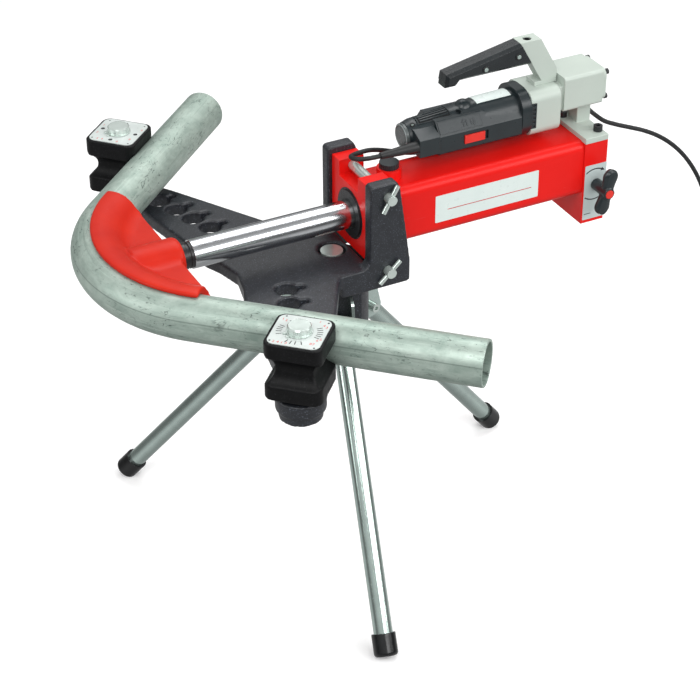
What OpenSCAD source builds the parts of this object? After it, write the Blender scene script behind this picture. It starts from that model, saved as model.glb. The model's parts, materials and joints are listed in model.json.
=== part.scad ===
// Electro-hydraulic pipe bender on a tripod, shown with a pipe bent in it.
// Lengths are millimetres. The machine is drawn about the ram axis: x = 0 is
// the front face of the cylinder's front block, +x points to the pump, +y to
// the far side and z = 0 is the ram axis. Every node is then set on the floor.

/* [Pipe being bent] */
// Outside diameter of the pipe
pipe_d = 60.3; // [54:0.1:64]
// Wall of the pipe
pipe_wall = 3.6; // [2.6:0.1:5]
// Bend radius on the pipe's centre line
bend_r = 192; // [180:1:205]
// Half of the bend angle
bend_half = 46.75; // [44:0.25:48]
// Straight leg on the far side
far_leg = 329; // [290:1:360]
// Straight leg on the near side
near_leg = 377; // [340:1:410]

/* [Ram] */
// Height of the ram axis over the floor
ram_h = 498; // [470:1:530]
// Diameter of the ram rod
rod_d = 39; // [34:0.5:41]
// Dark nose between the rod and the former
nose_l = 15; // [10:1:20]
// Diameter of the nose
nose_d = 36; // [30:0.5:38]
// Spigot of the nose that enters the former
spigot_d = 24; // [18:0.5:28]
// Length of the spigot
spigot_l = 30; // [20:1:34]
// Bore of the cylinder
bore_d = 60; // [54:0.5:64]
// Length of the piston
piston_l = 30; // [24:1:36]
// Width of the piston seal
seal_l = 8; // [5:0.5:10]
// Depth of the piston seal's groove
seal_depth = 5; // [3:0.5:6]

/* [Former] */
// Half angle that the former wraps
former_half = 50; // [48:0.5:52]
// Saddle thickness behind the pipe
saddle_t = 14; // [11:0.5:18]
// Lip thickness over the crown of the pipe
lip_t = 6; // [4:0.5:8]
// How far the lips reach past the crown
lip_reach = 3; // [1:0.5:5]
// Thickness of the flat web behind the saddle
web_t = 22; // [16:1:28]
// Length of the hub behind the saddle
hub_l = 61; // [54:1:68]
// Diameter of the hub where it meets the saddle
hub_d = 56; // [50:1:62]
// Diameter of the hub's rear end
hub_end_d = 50; // [40:1:52]
// Radius of the blend between web, saddle and hub
web_fillet = 25; // [18:1:30]

/* [Cylinder] */
// Thickness of the front block
block_t = 37; // [32:1:44]
// Width of the front block
block_w = 105.4; // [98:0.2:112]
// Top of the front block over the ram axis
block_top = 65; // [62:1:70]
// Notch in the top of the front block, near side of the middle
notch_near = 23; // [16:1:28]
// Notch in the top of the front block, far side of the middle
notch_far = 31; // [20:1:34]
// Depth of that notch
notch_depth = 22; // [18:1:24]
// Diameter of the rod gland
gland_d = 72; // [66:1:76]
// Length of the gland inside the block
gland_l = 28; // [22:1:31]
// How far the gland stands out of the block
gland_proud = 2; // [1:0.5:4]
// Outside diameter of the rod wiper
wiper_d = 44; // [43:0.5:48]
// Side of the square cylinder tube
tube_w = 84; // [80:1:88]
// Corner radius of the tube
tube_corner = 13; // [8:1:16]
// Length of the tube
tube_l = 306; // [296:1:320]
// Thickness of the rear block
rear_l = 37; // [32:1:44]
// Width of the rear block
rear_w = 88; // [86:1:94]
// Top of the rear block over the ram axis
rear_up = 40; // [36:1:44]
// Bottom of the rear block under the ram axis
rear_down = 86; // [78:1:94]

/* [Oil filler] */
// Filler centre behind the front block
filler_back = 22; // [19:1:30]
// Diameter of the filler boss
filler_boss_d = 34; // [30:1:38]
// Height of the boss over the tube
filler_boss_h = 14; // [10:1:18]
// Diameter of the cap
cap_d = 27; // [24:0.5:30]
// Height of the cap
cap_h = 8; // [6:0.5:10]
// Diameter of the cap's stem
cap_stem_d = 16; // [12:0.5:18]
// Length of the cap's stem
cap_stem_l = 9; // [6:0.5:11]

/* [Release valve] */
// Valve axis ahead of the rear face
valve_in = 16; // [12:1:20]
// Valve axis below the ram axis
valve_drop = 26; // [20:1:32]
// Diameter of the valve spindle
valve_d = 9; // [7:0.5:11]
// Depth of the spindle in the rear block
valve_depth = 26; // [18:1:32]
// Diameter of the knob's hub
knob_hub_d = 17; // [14:0.5:20]
// Length of the knob's hub
knob_hub_l = 36; // [30:1:40]
// Reach of each knob wing
knob_reach = 33; // [28:1:38]
// Thickness of the wings
knob_wing_t = 12; // [9:0.5:14]
// Lean of the wings from upright
knob_turn = 14; // [0:1:30]
// Diameter of the knob's end cap
knob_cap_d = 12.5; // [10:0.5:13.5]

/* [Bending frame] */
// Top of the frame plate under the ram axis
plate_drop = 48; // [46:0.5:49]
// Thickness of the frame plate
plate_t = 20; // [16:1:24]
// Rear edge of the plate ahead of the front block
plate_gap = 3; // [2:0.5:5]
// Innermost roller seat, along the ram
seat_first_x = -127; // [-132:1:-122]
// Innermost roller seat, off the ram axis
seat_first_y = 64; // [60:1:68]
// Step between seats, along the ram
seat_step_x = -11.2; // [-12:0.1:-10]
// Step between seats, off the ram axis
seat_step_y = 33.4; // [32:0.2:34]
// Outermost seat, along the ram
outer_seat_x = -215.3; // [-219:0.1:-212]
// Outermost seat, off the ram axis
outer_seat_y = 288.2; // [284:0.1:292]
// Number of free seats on each arm
seat_count = 6; // [4:1:6]
// Width of the key slot beside each seat
slot_w = 9.5; // [7:0.5:12]
// Reach of the key slot from the seat's centre
slot_reach = 26; // [23:0.5:28]
// Turn of the key slot, outwards
slot_turn = 9; // [0:1:15]
// Diameter of the arm's round end
arm_end_d = 64; // [58:1:68]
// Diameter of the boss under the outermost seat
seat_boss_d = 56; // [50:1:57]
// How far that boss reaches below the plate
seat_boss_drop = 12; // [8:1:16]
// Front edge of the plate on the ram axis
throat_x = -168; // [-172:1:-164]
// Width of the arm ahead of the first seat
arm_front = 60; // [54:1:66]
// Width of the arm behind the first seat
arm_back = 71; // [66:1:76]
// Thickness of each ear
ear_t = 18.5; // [14:0.5:22]
// Side play between the ears and the front block
ear_play = 0.8; // [0.4:0.1:1.5]
// Top of the ears over the ram axis
ear_top = 74; // [70:1:80]
// Bottom of the ears under the ram axis
ear_drop = 82; // [76:1:88]
// Front edge of the ears
ear_front = -6; // [-8:1:-4]
// Length of the ears' top edge
ear_top_l = 44; // [40:1:50]
// Length of the ears' foot
ear_foot_l = 103; // [98:1:110]
// Front of the ears' foot
ear_foot_x = -49; // [-53:1:-45]

/* [Ear pins] */
// Diameter of the ear pins
pin_d = 14; // [12:0.5:16]
// Pin axis behind the block's front face
pin_x = 20.5; // [17:0.5:22]
// Upper pin over the ram axis
upper_pin_z = 54; // [52:0.5:56]
// Lower pin under the ram axis
lower_pin_drop = 57; // [55:0.5:60]
// How far a pin stands out on the near side
pin_head = 11; // [9:0.5:14]
// How far a pin stands out on the far side
pin_tail = 3; // [1:0.5:6]
// Diameter of the T-bars
bar_d = 6.5; // [5:0.5:7.5]
// Length of the T-bars
bar_l = 42; // [36:1:50]
// Lean of the upper T-bar from level
upper_bar_turn = 60; // [30:1:80]
// Lean of the lower T-bar from level
lower_bar_turn = 43; // [20:1:60]

/* [Rollers] */
// Side of the four-sided roller
roller_w = 74; // [70:1:78]
// Height of the roller
roller_h = 80; // [76:1:84]
// Corner radius of the roller
roller_corner = 12; // [8:1:15]
// Groove floor from the pin axis
groove_floor = 24; // [22.5:0.5:26]
// Diameter of the hub under the roller
roller_hub_d = 48; // [42:1:56]
// Diameter of the roller pin
roller_pin_d = 30; // [26:0.5:32]
// Height of the pin over the scale plate
pin_over = 10; // [8:0.5:13]
// Side of the scale plate
scale_w = 66; // [60:1:68]
// Thickness of the scale plate
scale_t = 1; // [0.8:0.1:2]
// Width of the pin's retaining ring
ring_w = 3.2; // [2:0.2:4]
// Thickness of the retaining ring
ring_t = 1.6; // [1.2:0.1:2.4]

/* [Tripod] */
// Tripod axis along the ram
tripod_x = -28; // [-33:1:-24]
// Turn of the tripod about its bolt
leg_turn = 15.5; // [5:0.5:25]
// Foot distance from the tripod axis
foot_r = 330; // [312:1:346]
// Hinge distance from the tripod axis
hinge_r = 60; // [57:1:64]
// Hinge below the ram axis
hinge_drop = 158; // [150:1:166]
// Diameter of the leg tubes
leg_d = 26; // [22:0.5:28]
// Wall of the leg tubes
leg_wall = 2; // [1.5:0.1:3]
// Leg above its hinge
leg_over = 18; // [15:0.5:19]
// Diameter of the foot caps
foot_d = 33; // [30:0.5:38]
// Length of the foot caps
foot_l = 31; // [26:1:40]
// Diameter of the tripod head
head_d = 100; // [92:1:104]
// Distance of the head's flats from its axis
head_flat = 38; // [35:0.5:39]
// Thickness of the leg lugs
lug_t = 4; // [3:0.5:6]
// Diameter of the leg bolts
leg_bolt_d = 8; // [6:0.5:10]
// Diameter of the centre bolt
centre_bolt_d = 20; // [16:0.5:22]
// Diameter of the centre bolt's head
centre_head_d = 31; // [28:0.5:34]
// Diameter of the recess round that head
recess_d = 38; // [36:0.5:42]

/* [Pump] */
// Drive axis towards the far side
unit_y = 16; // [12:0.5:18]
// Thickness of the pump's base flange
flange_t = 8.6; // [7:0.2:11]
// Length of the pedestal
ped_l = 22; // [18:1:24]
// Width of the pedestal
ped_w = 24; // [20:1:26]
// Height of the pedestal
ped_h = 32.4; // [28:0.4:38]
// Pump overhang behind the rear block
pump_back = 6; // [3:0.5:10]
// Length of the pump housing
pump_l = 63; // [58:1:68]
// Width of the pump housing
pump_w = 62; // [56:1:66]
// Height of the pump housing
pump_h = 51; // [47:1:56]
// Thickness of the pump's rear cover
cover_t = 6; // [4:0.5:9]
// Drive axis over the bottom of the pump housing
axis_up = 7; // [4:0.5:10]
// Narrow stretch between pump and gear housing
neck_l = 6; // [4:0.5:9]
// Length of the gear housing
gear_l = 47; // [43:1:52]
// Side of the gear housing
gear_w = 66; // [62:1:70]

/* [Motor] */
// Length of the motor's collar
collar_l = 15; // [12:1:20]
// Side of the collar
collar_w = 70; // [66:1:72]
// Length of the motor housing
motor_l = 165; // [156:1:170]
// Diameter of the motor housing
motor_d = 61; // [56:1:62]
// Width over the housing's side rails
rail_w = 68; // [64:1:69]
// Rail above the motor axis
rail_up = 3; // [0:0.5:6]
// Rail below the motor axis
rail_down = 24; // [20:0.5:27]
// Diameter of the end cap
end_cap_d = 35; // [30:1:36]
// Length of the end cap
end_cap_l = 4; // [3:0.5:6]
// Length of the cord block
cord_block_l = 32; // [28:1:36]
// Length of the strain relief
boot_l = 56; // [44:1:58]
// Length of the slide switch
switch_l = 31; // [26:1:36]
// Height of the slide switch
switch_h = 12; // [9:0.5:15]
// How far the switch stands out
switch_proud = 2; // [1:0.5:4]
// Travel of the switch
switch_travel = 6; // [4:0.5:8]

/* [Handle] */
// Height of the handle arm over the gear housing
arm_h = 69; // [64:1:76]
// Lean of the arm's front edge at its top
arm_lean = 56; // [50:1:62]
// Length of the arm's top
arm_top_l = 32.5; // [28:0.5:38]
// Width of the arm
arm_w = 22; // [18:0.5:24]
// Length of the grip
grip_l = 113; // [105:1:122]
// Width of the grip
grip_w = 26; // [24:0.5:32]
// Depth of the grip where it meets the arm
grip_depth = 34; // [30:1:38]
// Depth of the grip's front end
grip_end = 19; // [16:1:23]

/* [Cord] */
// Diameter of the mains cord
cord_d = 6.5; // [5.5:0.1:7.5]

/* [Hidden] */
$fn = 64;

// Colours
red_paint = "#d3221d";
black_cast = "#26282b";
bright_steel = "#d4d8da";
zinc = "#b9c4bf";
light_grey = "#ccd2cd";
black_plastic = "#2b2f33";
black_rubber = "#1d1e20";
white_plate = "#eef0ee";

// Shared clearances and cuts
overrun = 1;
running = 0.05;
loose = 0.08;
apart = 0.3;
fillet_steps = 6;

// Pipe, former and ram, placed from the outermost roller seat
pipe_r = pipe_d / 2;
groove_r = pipe_r + apart;
bend_thin = 0.2;
leg_lap = 0.5;
leg_offset = groove_floor + groove_r;
bend_x = outer_seat_x + (leg_offset + bend_r - sin(bend_half) * outer_seat_y) / cos(bend_half);
saddle_in = bend_r - pipe_r - saddle_t;
lip_over = 0.85;
saddle_mid = saddle_in + pipe_r + lip_t + lip_over;
web_r = saddle_in + saddle_t / 2;
hub_rear_x = bend_x - saddle_in + hub_l;
hub_flare = 5;
web_back = 8.2;
fillet_lap = 0.3;
hub_root_x = hub_rear_x - hub_l - saddle_t / 2;
web_x = hub_rear_x - web_back;
rod_front_x = hub_rear_x + nose_l;
nose_groove_w = 4;
nose_groove_depth = 1.5;
piston_gap = 12;
piston_x = block_t + piston_gap;
piston_stem_share = 0.6;
piston_stem_d = rod_d * piston_stem_share;
seal_x = piston_x + (piston_l - seal_l) / 2;
seal_end = seal_x + seal_l;

// Cylinder and its blocks
tube_x = block_t;
rear_x = tube_x + tube_l;
back_x = rear_x + rear_l;
tube_half = tube_w / 2;
pin_r = pin_d / 2;
block_bottom = -lower_pin_drop + pin_r + apart;
gland_rim = 3;
wiper_l = 7;
filler_x = block_t + filler_back;
filler_top = tube_half + filler_boss_h;
cap_rib_count = 24;
cap_rib_d = 2;
knob_base_y = -rear_w / 2 - apart;
knob_face_y = knob_base_y - knob_hub_l;
wing_tip_r = 7;
wing_in = 3;

// Frame plate and ears
plate_top = -plate_drop;
plate_bottom = plate_top - plate_t;
arm_first = [seat_first_x, seat_first_y];
outer_seat = [outer_seat_x, outer_seat_y];
seat_r = roller_pin_d / 2 + loose;
boss_r = seat_boss_d / 2;
boss_bottom = plate_bottom - seat_boss_drop;
boss_lip = 1.5;
arm_end_r = arm_end_d / 2 - boss_lip;
throat_half = 38;
throat_lead = 9;
shoulder_back = 2;
arm_mid_back = 74;
arm_end_in = 62;
arm_end_back = 40;
ear_in = block_w / 2 + ear_play;
ear_out = ear_in + ear_t;
ear_foot_end = ear_foot_x + ear_foot_l;
ear_rear_drop = 9;
ear_fillet = 12;
ear_corner = 4;
arm_fillet = 20;
arm_root_out = 7;
centre_head_h = 9;
head_recess = 2;

// Rollers and their pins
roller_z0 = -roller_h / 2;
scale_top = roller_h / 2 + scale_t;
pin_top = scale_top + pin_over;
pin_edge = 1.5;
ring_z = scale_top + apart;
side_pipes_d = [pipe_d, 48.3, 42.4, 33.7];
ring_eye_turn = 14;
ring_eye_share = 0.75;
scale_corner = 10;

// Ear pins
bar_y = -(ear_out + pin_head / 2);

// Tripod
hinge_z = -hinge_drop;
leg_r = leg_d / 2;
foot_end_h = 6.4;
leg_drop = ram_h - hinge_drop - foot_end_h;
leg_tilt = atan2(foot_r - hinge_r, leg_drop);
leg_reach = norm([foot_r - hinge_r, leg_drop]);
leg_count = 3;
leg_azimuths = [for (i = [leg_count - 1 : -1 : 0]) leg_turn + i * 360 / leg_count];
foot_round = 5;
tube_in_foot = 10;
lug_in = leg_r + apart;
lug_out = lug_in + lug_t;
lug_top = -96;
lug_round = 16;
head_step = 6;
head_bottom = hinge_z - lug_round + head_step;
leg_bolt_head_d = 13;
leg_bolt_head_h = 8;
leg_bolt_socket_d = 6.5;
leg_nut_h = 6.5;
head_rim = 8;

// Pump and motor, built forwards from the rear block
flange_top = rear_up + flange_t;
pump_z = flange_top + ped_h;
pump_rear = back_x + pump_back;
pump_front = pump_rear - pump_l;
gear_rear = pump_front - neck_l;
gear_front = gear_rear - gear_l;
collar_front = gear_front - collar_l;
motor_front = collar_front - motor_l;
axis_z = pump_z + axis_up;
gear_top = axis_z + gear_w / 2;
flange_lip = 1;
flange_half = rear_w / 2 + flange_lip;
pump_corner = 5;
neck_drop = 5;
neck_h = 35;
neck_in = 4;
gear_corner = 14;
collar_corner = 28;
base_bolt_d = 13;
base_bolt_h = 8;
base_socket_d = 7;
near_bolt_in = 8;
near_bolt_y = -29;
far_bolt_in = 28.5;
far_bolt_y = 31;
near_bolt = [back_x - near_bolt_in, near_bolt_y];
far_bolt = [back_x - far_bolt_in, far_bolt_y];
cover_bolt_d = 8;
cover_bolt_h = 4;
cover_in = 4;
cover_bolt_in = 7;
vent_l = 8;
vent_w = 3;
vent_count = 6;
motor_r = motor_d / 2;
barrel_x_shares = [0, 0.06, 0.32, 0.48, 0.68, 1];
barrel_r_shares = [0.6, 0.7, 0.8, 0.87, 0.97, 1];
block_in = 4;
rail_x = motor_front + block_in + cord_block_l;
rail_shoulder_share = 0.6;
rail_crown_share = 0.7;
rail_corner = 3;
slot_l = 43;
slot_t = 3;
slot_depth = 4;
slot_in = 14;
slot_x = motor_front + slot_in;
slot_turns = [-26, -13, 0, 13, 26];
slot_pitch = -6;
eye_d = 8;
eye_depth = 6;
eye_in = 76;
eye_turns = [-28, 28];
hump_in = 90;
hump_r = 13;
hump_up = 20;
block_gap = 1.2;
block_low = 18;
block_side = 38;
block_side_up = 7;
block_crown = 15;
block_crown_in = 20;
block_x0 = motor_front + block_in;
boot_root_d = 16;
boot_tip_d = 9;
boot_side = 30;
boot_drop = 4;
boot_y = unit_y - boot_side;
boot_z = axis_z - boot_drop;
switch_back = 38.5;
switch_drop = 14.5;
switch_x = rail_x + switch_back;
switch_z = axis_z - switch_drop;
switch_floor = 3;

// Handle
arm_y0 = unit_y - arm_w / 2;
arm_base = 31;
arm_step = 6;
arm_step_in = 11;
arm_heel = 4;
arm_heel_h = 20;
arm_tip = [gear_rear - arm_lean, gear_top + arm_h];
arm_foot = [gear_rear - arm_base + arm_step_in, gear_top + arm_step];
arm_hole_d = 12;
arm_hole_depth = 12;
grip_edge = 4;
grip_hook_l = 16;
grip_hook_run = 6;
grip_nose = 2;
grip_rise = 22;
arm_slope = (arm_foot - arm_tip) / (arm_tip.y - arm_foot.y);
grip_low = arm_tip + arm_slope * grip_depth;
grip_front_x = arm_tip.x - grip_l;
screw_d = 6;
screw_h = 2;
screw_shares = [0.52, 0.97];

// Where the part's origin lies in the machine's axes
pipe_front_x = bend_x - bend_r - pipe_r;
unit_rear_x = pump_rear + cover_t + cover_bolt_h;
far_end_y = bend_r * sin(bend_half) + far_leg * cos(bend_half) + pipe_r * sin(bend_half);
near_end_y = -(bend_r * sin(bend_half) + near_leg * cos(bend_half) + pipe_r * sin(bend_half));
origin_x = (pipe_front_x + unit_rear_x) / 2;
origin_y = (far_end_y + near_end_y) / 2;

// Cord, from the strain relief over the tube and the flange to the floor
cord_sides = 8;
first_side = [0, 0, 1];
cord_steps = 2;
cord_route = [
    [38, -14, 84], [35.5, -14, 84], [33, -14, 84], [21, -11, 83], [12, -3, 80.5], [9, 9, 77],
    [12, 20, 73.5], [21, 28, 70.5], [33, 32, 69.2], [47, 34.5, 67.5], [62, 37, 63], [80, 38, 56.5],
    [100, 36, 50], [125, 33, 46], [150, 31, 45.5], [180, 30, 45.5],
    [210, 30, 45.5], [240, 30, 45.5], [265, 31, 45.5], [290, 34, 46], [315, 38, 49], [338, 41, 52.2],
    [360, 41, 52.4], [382, 42, 52.6], [400, 45, 44], [417, 51, 28], [437, 52, 11], [458, 52, 0],
    [481, 52, -10], [508, 52, -22], [536, 52, -38], [564, 52, -60], [590, 52, -88],
    [614, 52, -124], [634, 52, -168], [650, 52, -222], [662, 52, -283], [671, 52, -345],
    [678, 52, -407], [688, 52, -457], [699, 52, -478], [713, 52, -490], [724, 52, -493.5],
    [729.5, 52, -493.5], [735, 52, -493.5]
];
coil_r_in = 26;
coil_pitch = 7.4;
coil_layer = 7;
coil_turns_in = 3.5;
coil_turns_out = 3;
coil_exit = 44;
coil_dip = 2.5;
coil_r_out = coil_r_in + coil_pitch * coil_turns_in;
coil_rings = 24;
coil_sides = 6;
tie_w = 5;
tie_t = 1;
plug_l = 46;
plug_w = 34;
plug_neck_l = 12;
plug_pin_d = 4;
plug_pin_l = 19;
plug_pin_gap = 19;
plug_neck_share = 0.7;
plug_corner = 6;

// Points and shapes used by several pieces

function unit(v) = v / norm(v);

// Arc that rounds the corner p between a and b
function corner_arc(a, p, b, r) =
    let (u = unit(a - p), w = unit(b - p), half = acos(u * w) / 2)
    let (c = p + unit(u + w) * r / sin(half), reach = r / tan(half))
    let (s = p + u * reach - c, e = p + w * reach - c)
    let (a0 = atan2(s.y, s.x), raw = atan2(e.y, e.x) - a0)
    let (sweep = raw > 180 ? raw - 360 : raw < -180 ? raw + 360 : raw)
    r == 0 ? [p] : [for (i = [0 : fillet_steps])
        c + r * [cos(a0 + sweep * i / fillet_steps), sin(a0 + sweep * i / fillet_steps)]];

// Outline with corner i rounded by radii[i]
function rounded(points, radii) =
    let (n = len(points))
    [for (i = [0 : n - 1])
        each corner_arc(points[(i + n - 1) % n], points[i], points[(i + 1) % n], radii[i])];

// Point where a line from p touches the circle (c, r), on the chosen side
function touch(p, c, r, side) =
    let (d = c - p, a = atan2(d.y, d.x) + side * asin(r / norm(d)))
    p + sqrt(d * d - r * r) * [cos(a), sin(a)];

function mirrored(points) = [for (i = [len(points) - 1 : -1 : 0]) [points[i].x, -points[i].y]];

// Moves a piece from the machine's axes to the part's axes
module on_floor() {
    translate([-origin_x, -origin_y, ram_h])
        children();
}

module rod_x(x0, x1, r) {
    translate([x0, 0, 0])
        rotate([0, 90, 0])
            cylinder(h = x1 - x0, r = r);
}

module rod_y(y0, y1, r) {
    translate([0, y0, 0])
        rotate([-90, 0, 0])
            cylinder(h = y1 - y0, r = r);
}

module rod_z(z0, z1, r) {
    translate([0, 0, z0])
        cylinder(h = z1 - z0, r = r);
}

module box(low, high) {
    translate(low)
        cube(high - low);
}

// Outline in x and z, extruded from y0 to y1
module slab_y(y0, y1) {
    translate([0, y1, 0])
        rotate([90, 0, 0])
            linear_extrude(y1 - y0)
                children();
}

// Outline in y and z, extruded from x0 to x1
module slab_x(x0, x1) {
    translate([x0, 0, 0])
        rotate([90, 0, 90])
            linear_extrude(x1 - x0)
                children();
}

module round_rect(w, h, r) {
    square([w - 2 * r, h], center = true);
    square([w, h - 2 * r], center = true);
    for (sx = [-1, 1], sy = [-1, 1])
        translate([sx * (w / 2 - r), sy * (h / 2 - r)])
            circle(r);
}

// Revolves a profile of [radius, distance] about the x axis
module turned_x(x) {
    translate([x, 0, 0])
        rotate([0, 90, 0])
            rotate_extrude()
                children();
}

// Bending frame

// Outline of the plate with both arms
module plate_outline() {
    shoulder = arm_first + [-arm_front, -shoulder_back];
    mid = outer_seat + [0, -arm_mid_back];
    end = outer_seat + [arm_end_in, -arm_end_back];
    root = [seat_first_x + arm_back, ear_out + arm_root_out];
    half = [
        [throat_x - throat_lead, throat_half], shoulder, mid,
        touch(mid, outer_seat, arm_end_r, 1), touch(end, outer_seat, arm_end_r, -1), end,
        root, [ear_foot_x, ear_out], [-plate_gap, ear_out]
    ];
    half_radii = [arm_fillet, arm_fillet, arm_fillet, 0, 0, arm_fillet, arm_root_out, 0, 0];
    half_back = [for (i = [len(half) - 1 : -1 : 0]) half_radii[i]];
    polygon(rounded(concat([[throat_x, 0]], half, mirrored(half)), concat([0], half_radii, half_back)));
}

// Keyhole that a roller pin drops into
module key_seat(at, turn) {
    translate(at) {
        circle(seat_r);
        rotate(turn)
            translate([0, -slot_w / 2])
                square([slot_reach, slot_w]);
    }
}

module plate_holes() {
    for (i = [0 : seat_count - 1], side = [-1, 1])
        key_seat([seat_first_x + i * seat_step_x, side * (seat_first_y + i * seat_step_y)], side * slot_turn);
    translate([tripod_x, 0])
        circle(centre_bolt_d / 2 + loose);
}

module ear_outline() {
    top_end = ear_front + ear_top_l;
    points = [
        [ear_front, ear_top], [ear_front, plate_top], [ear_foot_x, plate_top], [ear_foot_x, -ear_drop],
        [ear_foot_end, -ear_drop], [ear_foot_end, plate_top], [top_end, ear_top - ear_rear_drop],
        [top_end - ear_rear_drop / 2, ear_top]
    ];
    polygon(rounded(points, [ear_corner, ear_fillet, 0, 0, ear_corner, 0, 0, 0]));
}

module ear_section() {
    difference() {
        ear_outline();
        for (z = [upper_pin_z, -lower_pin_drop])
            translate([pin_x, z])
                circle(pin_r + running);
    }
}

// Round boss at the outermost seat of each arm
module seat_bosses(r) {
    for (side = [-1, 1])
        translate([outer_seat_x, side * outer_seat_y])
            circle(r);
}

module bending_frame() {
    color(black_cast)
        on_floor()
            difference() {
                union() {
                    translate([0, 0, plate_bottom])
                        linear_extrude(plate_t)
                            difference() {
                                union() {
                                    plate_outline();
                                    seat_bosses(arm_end_d / 2);
                                }
                                plate_holes();
                                seat_bosses(seat_r);
                            }
                    translate([0, 0, boss_bottom])
                        linear_extrude(seat_boss_drop)
                            difference() {
                                seat_bosses(boss_r);
                                seat_bosses(seat_r);
                            }
                    slab_y(ear_in, ear_out)
                        ear_section();
                    slab_y(-ear_out, -ear_in)
                        ear_section();
                }
                translate([tripod_x, 0, 0])
                    rod_z(plate_top - centre_head_h - head_recess, plate_top + overrun, recess_d / 2);
            }
}

// Cylinder

module front_block() {
    color(red_paint)
        on_floor()
            difference() {
                box([0, -block_w / 2, block_bottom], [block_t, block_w / 2, block_top]);
                box([-overrun, -notch_near, block_top - notch_depth],
                    [block_t + overrun, notch_far, block_top + overrun]);
                rod_x(-overrun, gland_l, gland_d / 2);
                rod_x(0, block_t + overrun, bore_d / 2);
                translate([pin_x, 0, upper_pin_z])
                    rod_y(-block_w, block_w, pin_r + running);
            }
}

module rod_gland() {
    color(black_plastic)
        on_floor()
            difference() {
                union() {
                    rod_x(-gland_proud, 0, gland_d / 2 - gland_rim);
                    rod_x(0, gland_l, gland_d / 2);
                }
                rod_x(-gland_proud - overrun, gland_l + overrun, rod_d / 2 + running);
                rod_x(-gland_proud - overrun, wiper_l - gland_proud, wiper_d / 2);
            }
}

module rod_wiper() {
    color(black_rubber)
        on_floor()
            difference() {
                rod_x(-gland_proud, wiper_l - gland_proud, wiper_d / 2);
                rod_x(-gland_proud - overrun, wiper_l, rod_d / 2 + running);
            }
}

module cylinder_tube() {
    color(red_paint)
        on_floor()
            difference() {
                union() {
                    slab_x(tube_x, rear_x)
                        round_rect(tube_w, tube_w, tube_corner);
                    translate([filler_x, 0, 0])
                        rod_z(tube_half - overrun, filler_top, filler_boss_d / 2);
                }
                rod_x(tube_x - overrun, rear_x + overrun, bore_d / 2);
                translate([filler_x, 0, 0])
                    rod_z(filler_top - cap_stem_l - apart, filler_top + overrun, cap_stem_d / 2 + loose);
            }
}

module rear_block() {
    color(red_paint)
        on_floor()
            difference() {
                box([rear_x, -rear_w / 2, -rear_down], [back_x, rear_w / 2, rear_up]);
                translate([back_x - valve_in, 0, -valve_drop])
                    rod_y(-rear_w / 2 - overrun, -rear_w / 2 + valve_depth, valve_d / 2 + running);
            }
}

module filler_cap() {
    color(black_plastic)
        on_floor()
            translate([filler_x, 0, 0])
                difference() {
                    union() {
                        rod_z(filler_top - cap_stem_l, filler_top, cap_stem_d / 2);
                        rod_z(filler_top, filler_top + cap_h, cap_d / 2);
                    }
                    for (i = [0 : cap_rib_count - 1])
                        rotate([0, 0, i * 360 / cap_rib_count])
                            translate([cap_d / 2 + cap_rib_d / 4, 0, 0])
                                rod_z(filler_top - overrun, filler_top + cap_h + overrun, cap_rib_d / 2);
                }
}

// Release valve

module on_valve() {
    on_floor()
        translate([back_x - valve_in, 0, -valve_drop])
            children();
}

module valve_spindle() {
    color(bright_steel)
        on_valve()
            rod_y(knob_base_y - knob_hub_l / 2, -rear_w / 2 + valve_depth - apart, valve_d / 2);
}

module valve_knob() {
    color(black_plastic)
        on_valve()
            difference() {
                union() {
                    rod_y(knob_face_y, knob_base_y, knob_hub_d / 2);
                    for (side = [0, 180])
                        rotate([0, knob_turn + side, 0])
                            slab_y(knob_face_y + wing_in, knob_face_y + wing_in + knob_wing_t)
                                knob_wing();
                }
                rod_y(knob_base_y - knob_hub_l / 2, knob_base_y + overrun, valve_d / 2);
                rod_y(knob_face_y - overrun, knob_face_y + overrun, knob_cap_d / 2);
            }
}

module knob_wing() {
    translate([0, knob_reach - wing_tip_r])
        circle(wing_tip_r);
    translate([-wing_tip_r, 0])
        square([2 * wing_tip_r, knob_reach - wing_tip_r]);
}

module valve_knob_cap() {
    color(red_paint)
        on_valve()
            rod_y(knob_face_y - overrun / 2, knob_face_y + overrun, knob_cap_d / 2);
}

// Ram, former and pipe

module ram_rod() {
    color(bright_steel)
        on_floor() {
            rod_x(rod_front_x, piston_x, rod_d / 2);
            rod_x(piston_x, piston_x + piston_l, piston_stem_d / 2);
        }
}

module ram_nose() {
    color(black_plastic)
        on_floor()
            difference() {
                union() {
                    rod_x(hub_rear_x, rod_front_x, nose_d / 2);
                    rod_x(hub_rear_x - spigot_l, hub_rear_x, spigot_d / 2);
                }
                difference() {
                    rod_x(rod_front_x - 2 * nose_groove_w, rod_front_x - nose_groove_w, nose_d);
                    rod_x(hub_rear_x, rod_front_x, nose_d / 2 - nose_groove_depth);
                }
            }
}

module ram_piston() {
    color(bright_steel)
        on_floor()
            difference() {
                rod_x(piston_x, piston_x + piston_l, bore_d / 2 - running);
                rod_x(piston_x - overrun, piston_x + piston_l + overrun, piston_stem_d / 2);
                difference() {
                    rod_x(seal_x, seal_end, bore_d);
                    rod_x(piston_x, piston_x + piston_l, bore_d / 2 - seal_depth);
                }
            }
}

module piston_seal() {
    color(black_rubber)
        on_floor()
            difference() {
                rod_x(seal_x, seal_end, bore_d / 2 - running);
                rod_x(piston_x, piston_x + piston_l, bore_d / 2 - seal_depth);
            }
}

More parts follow.
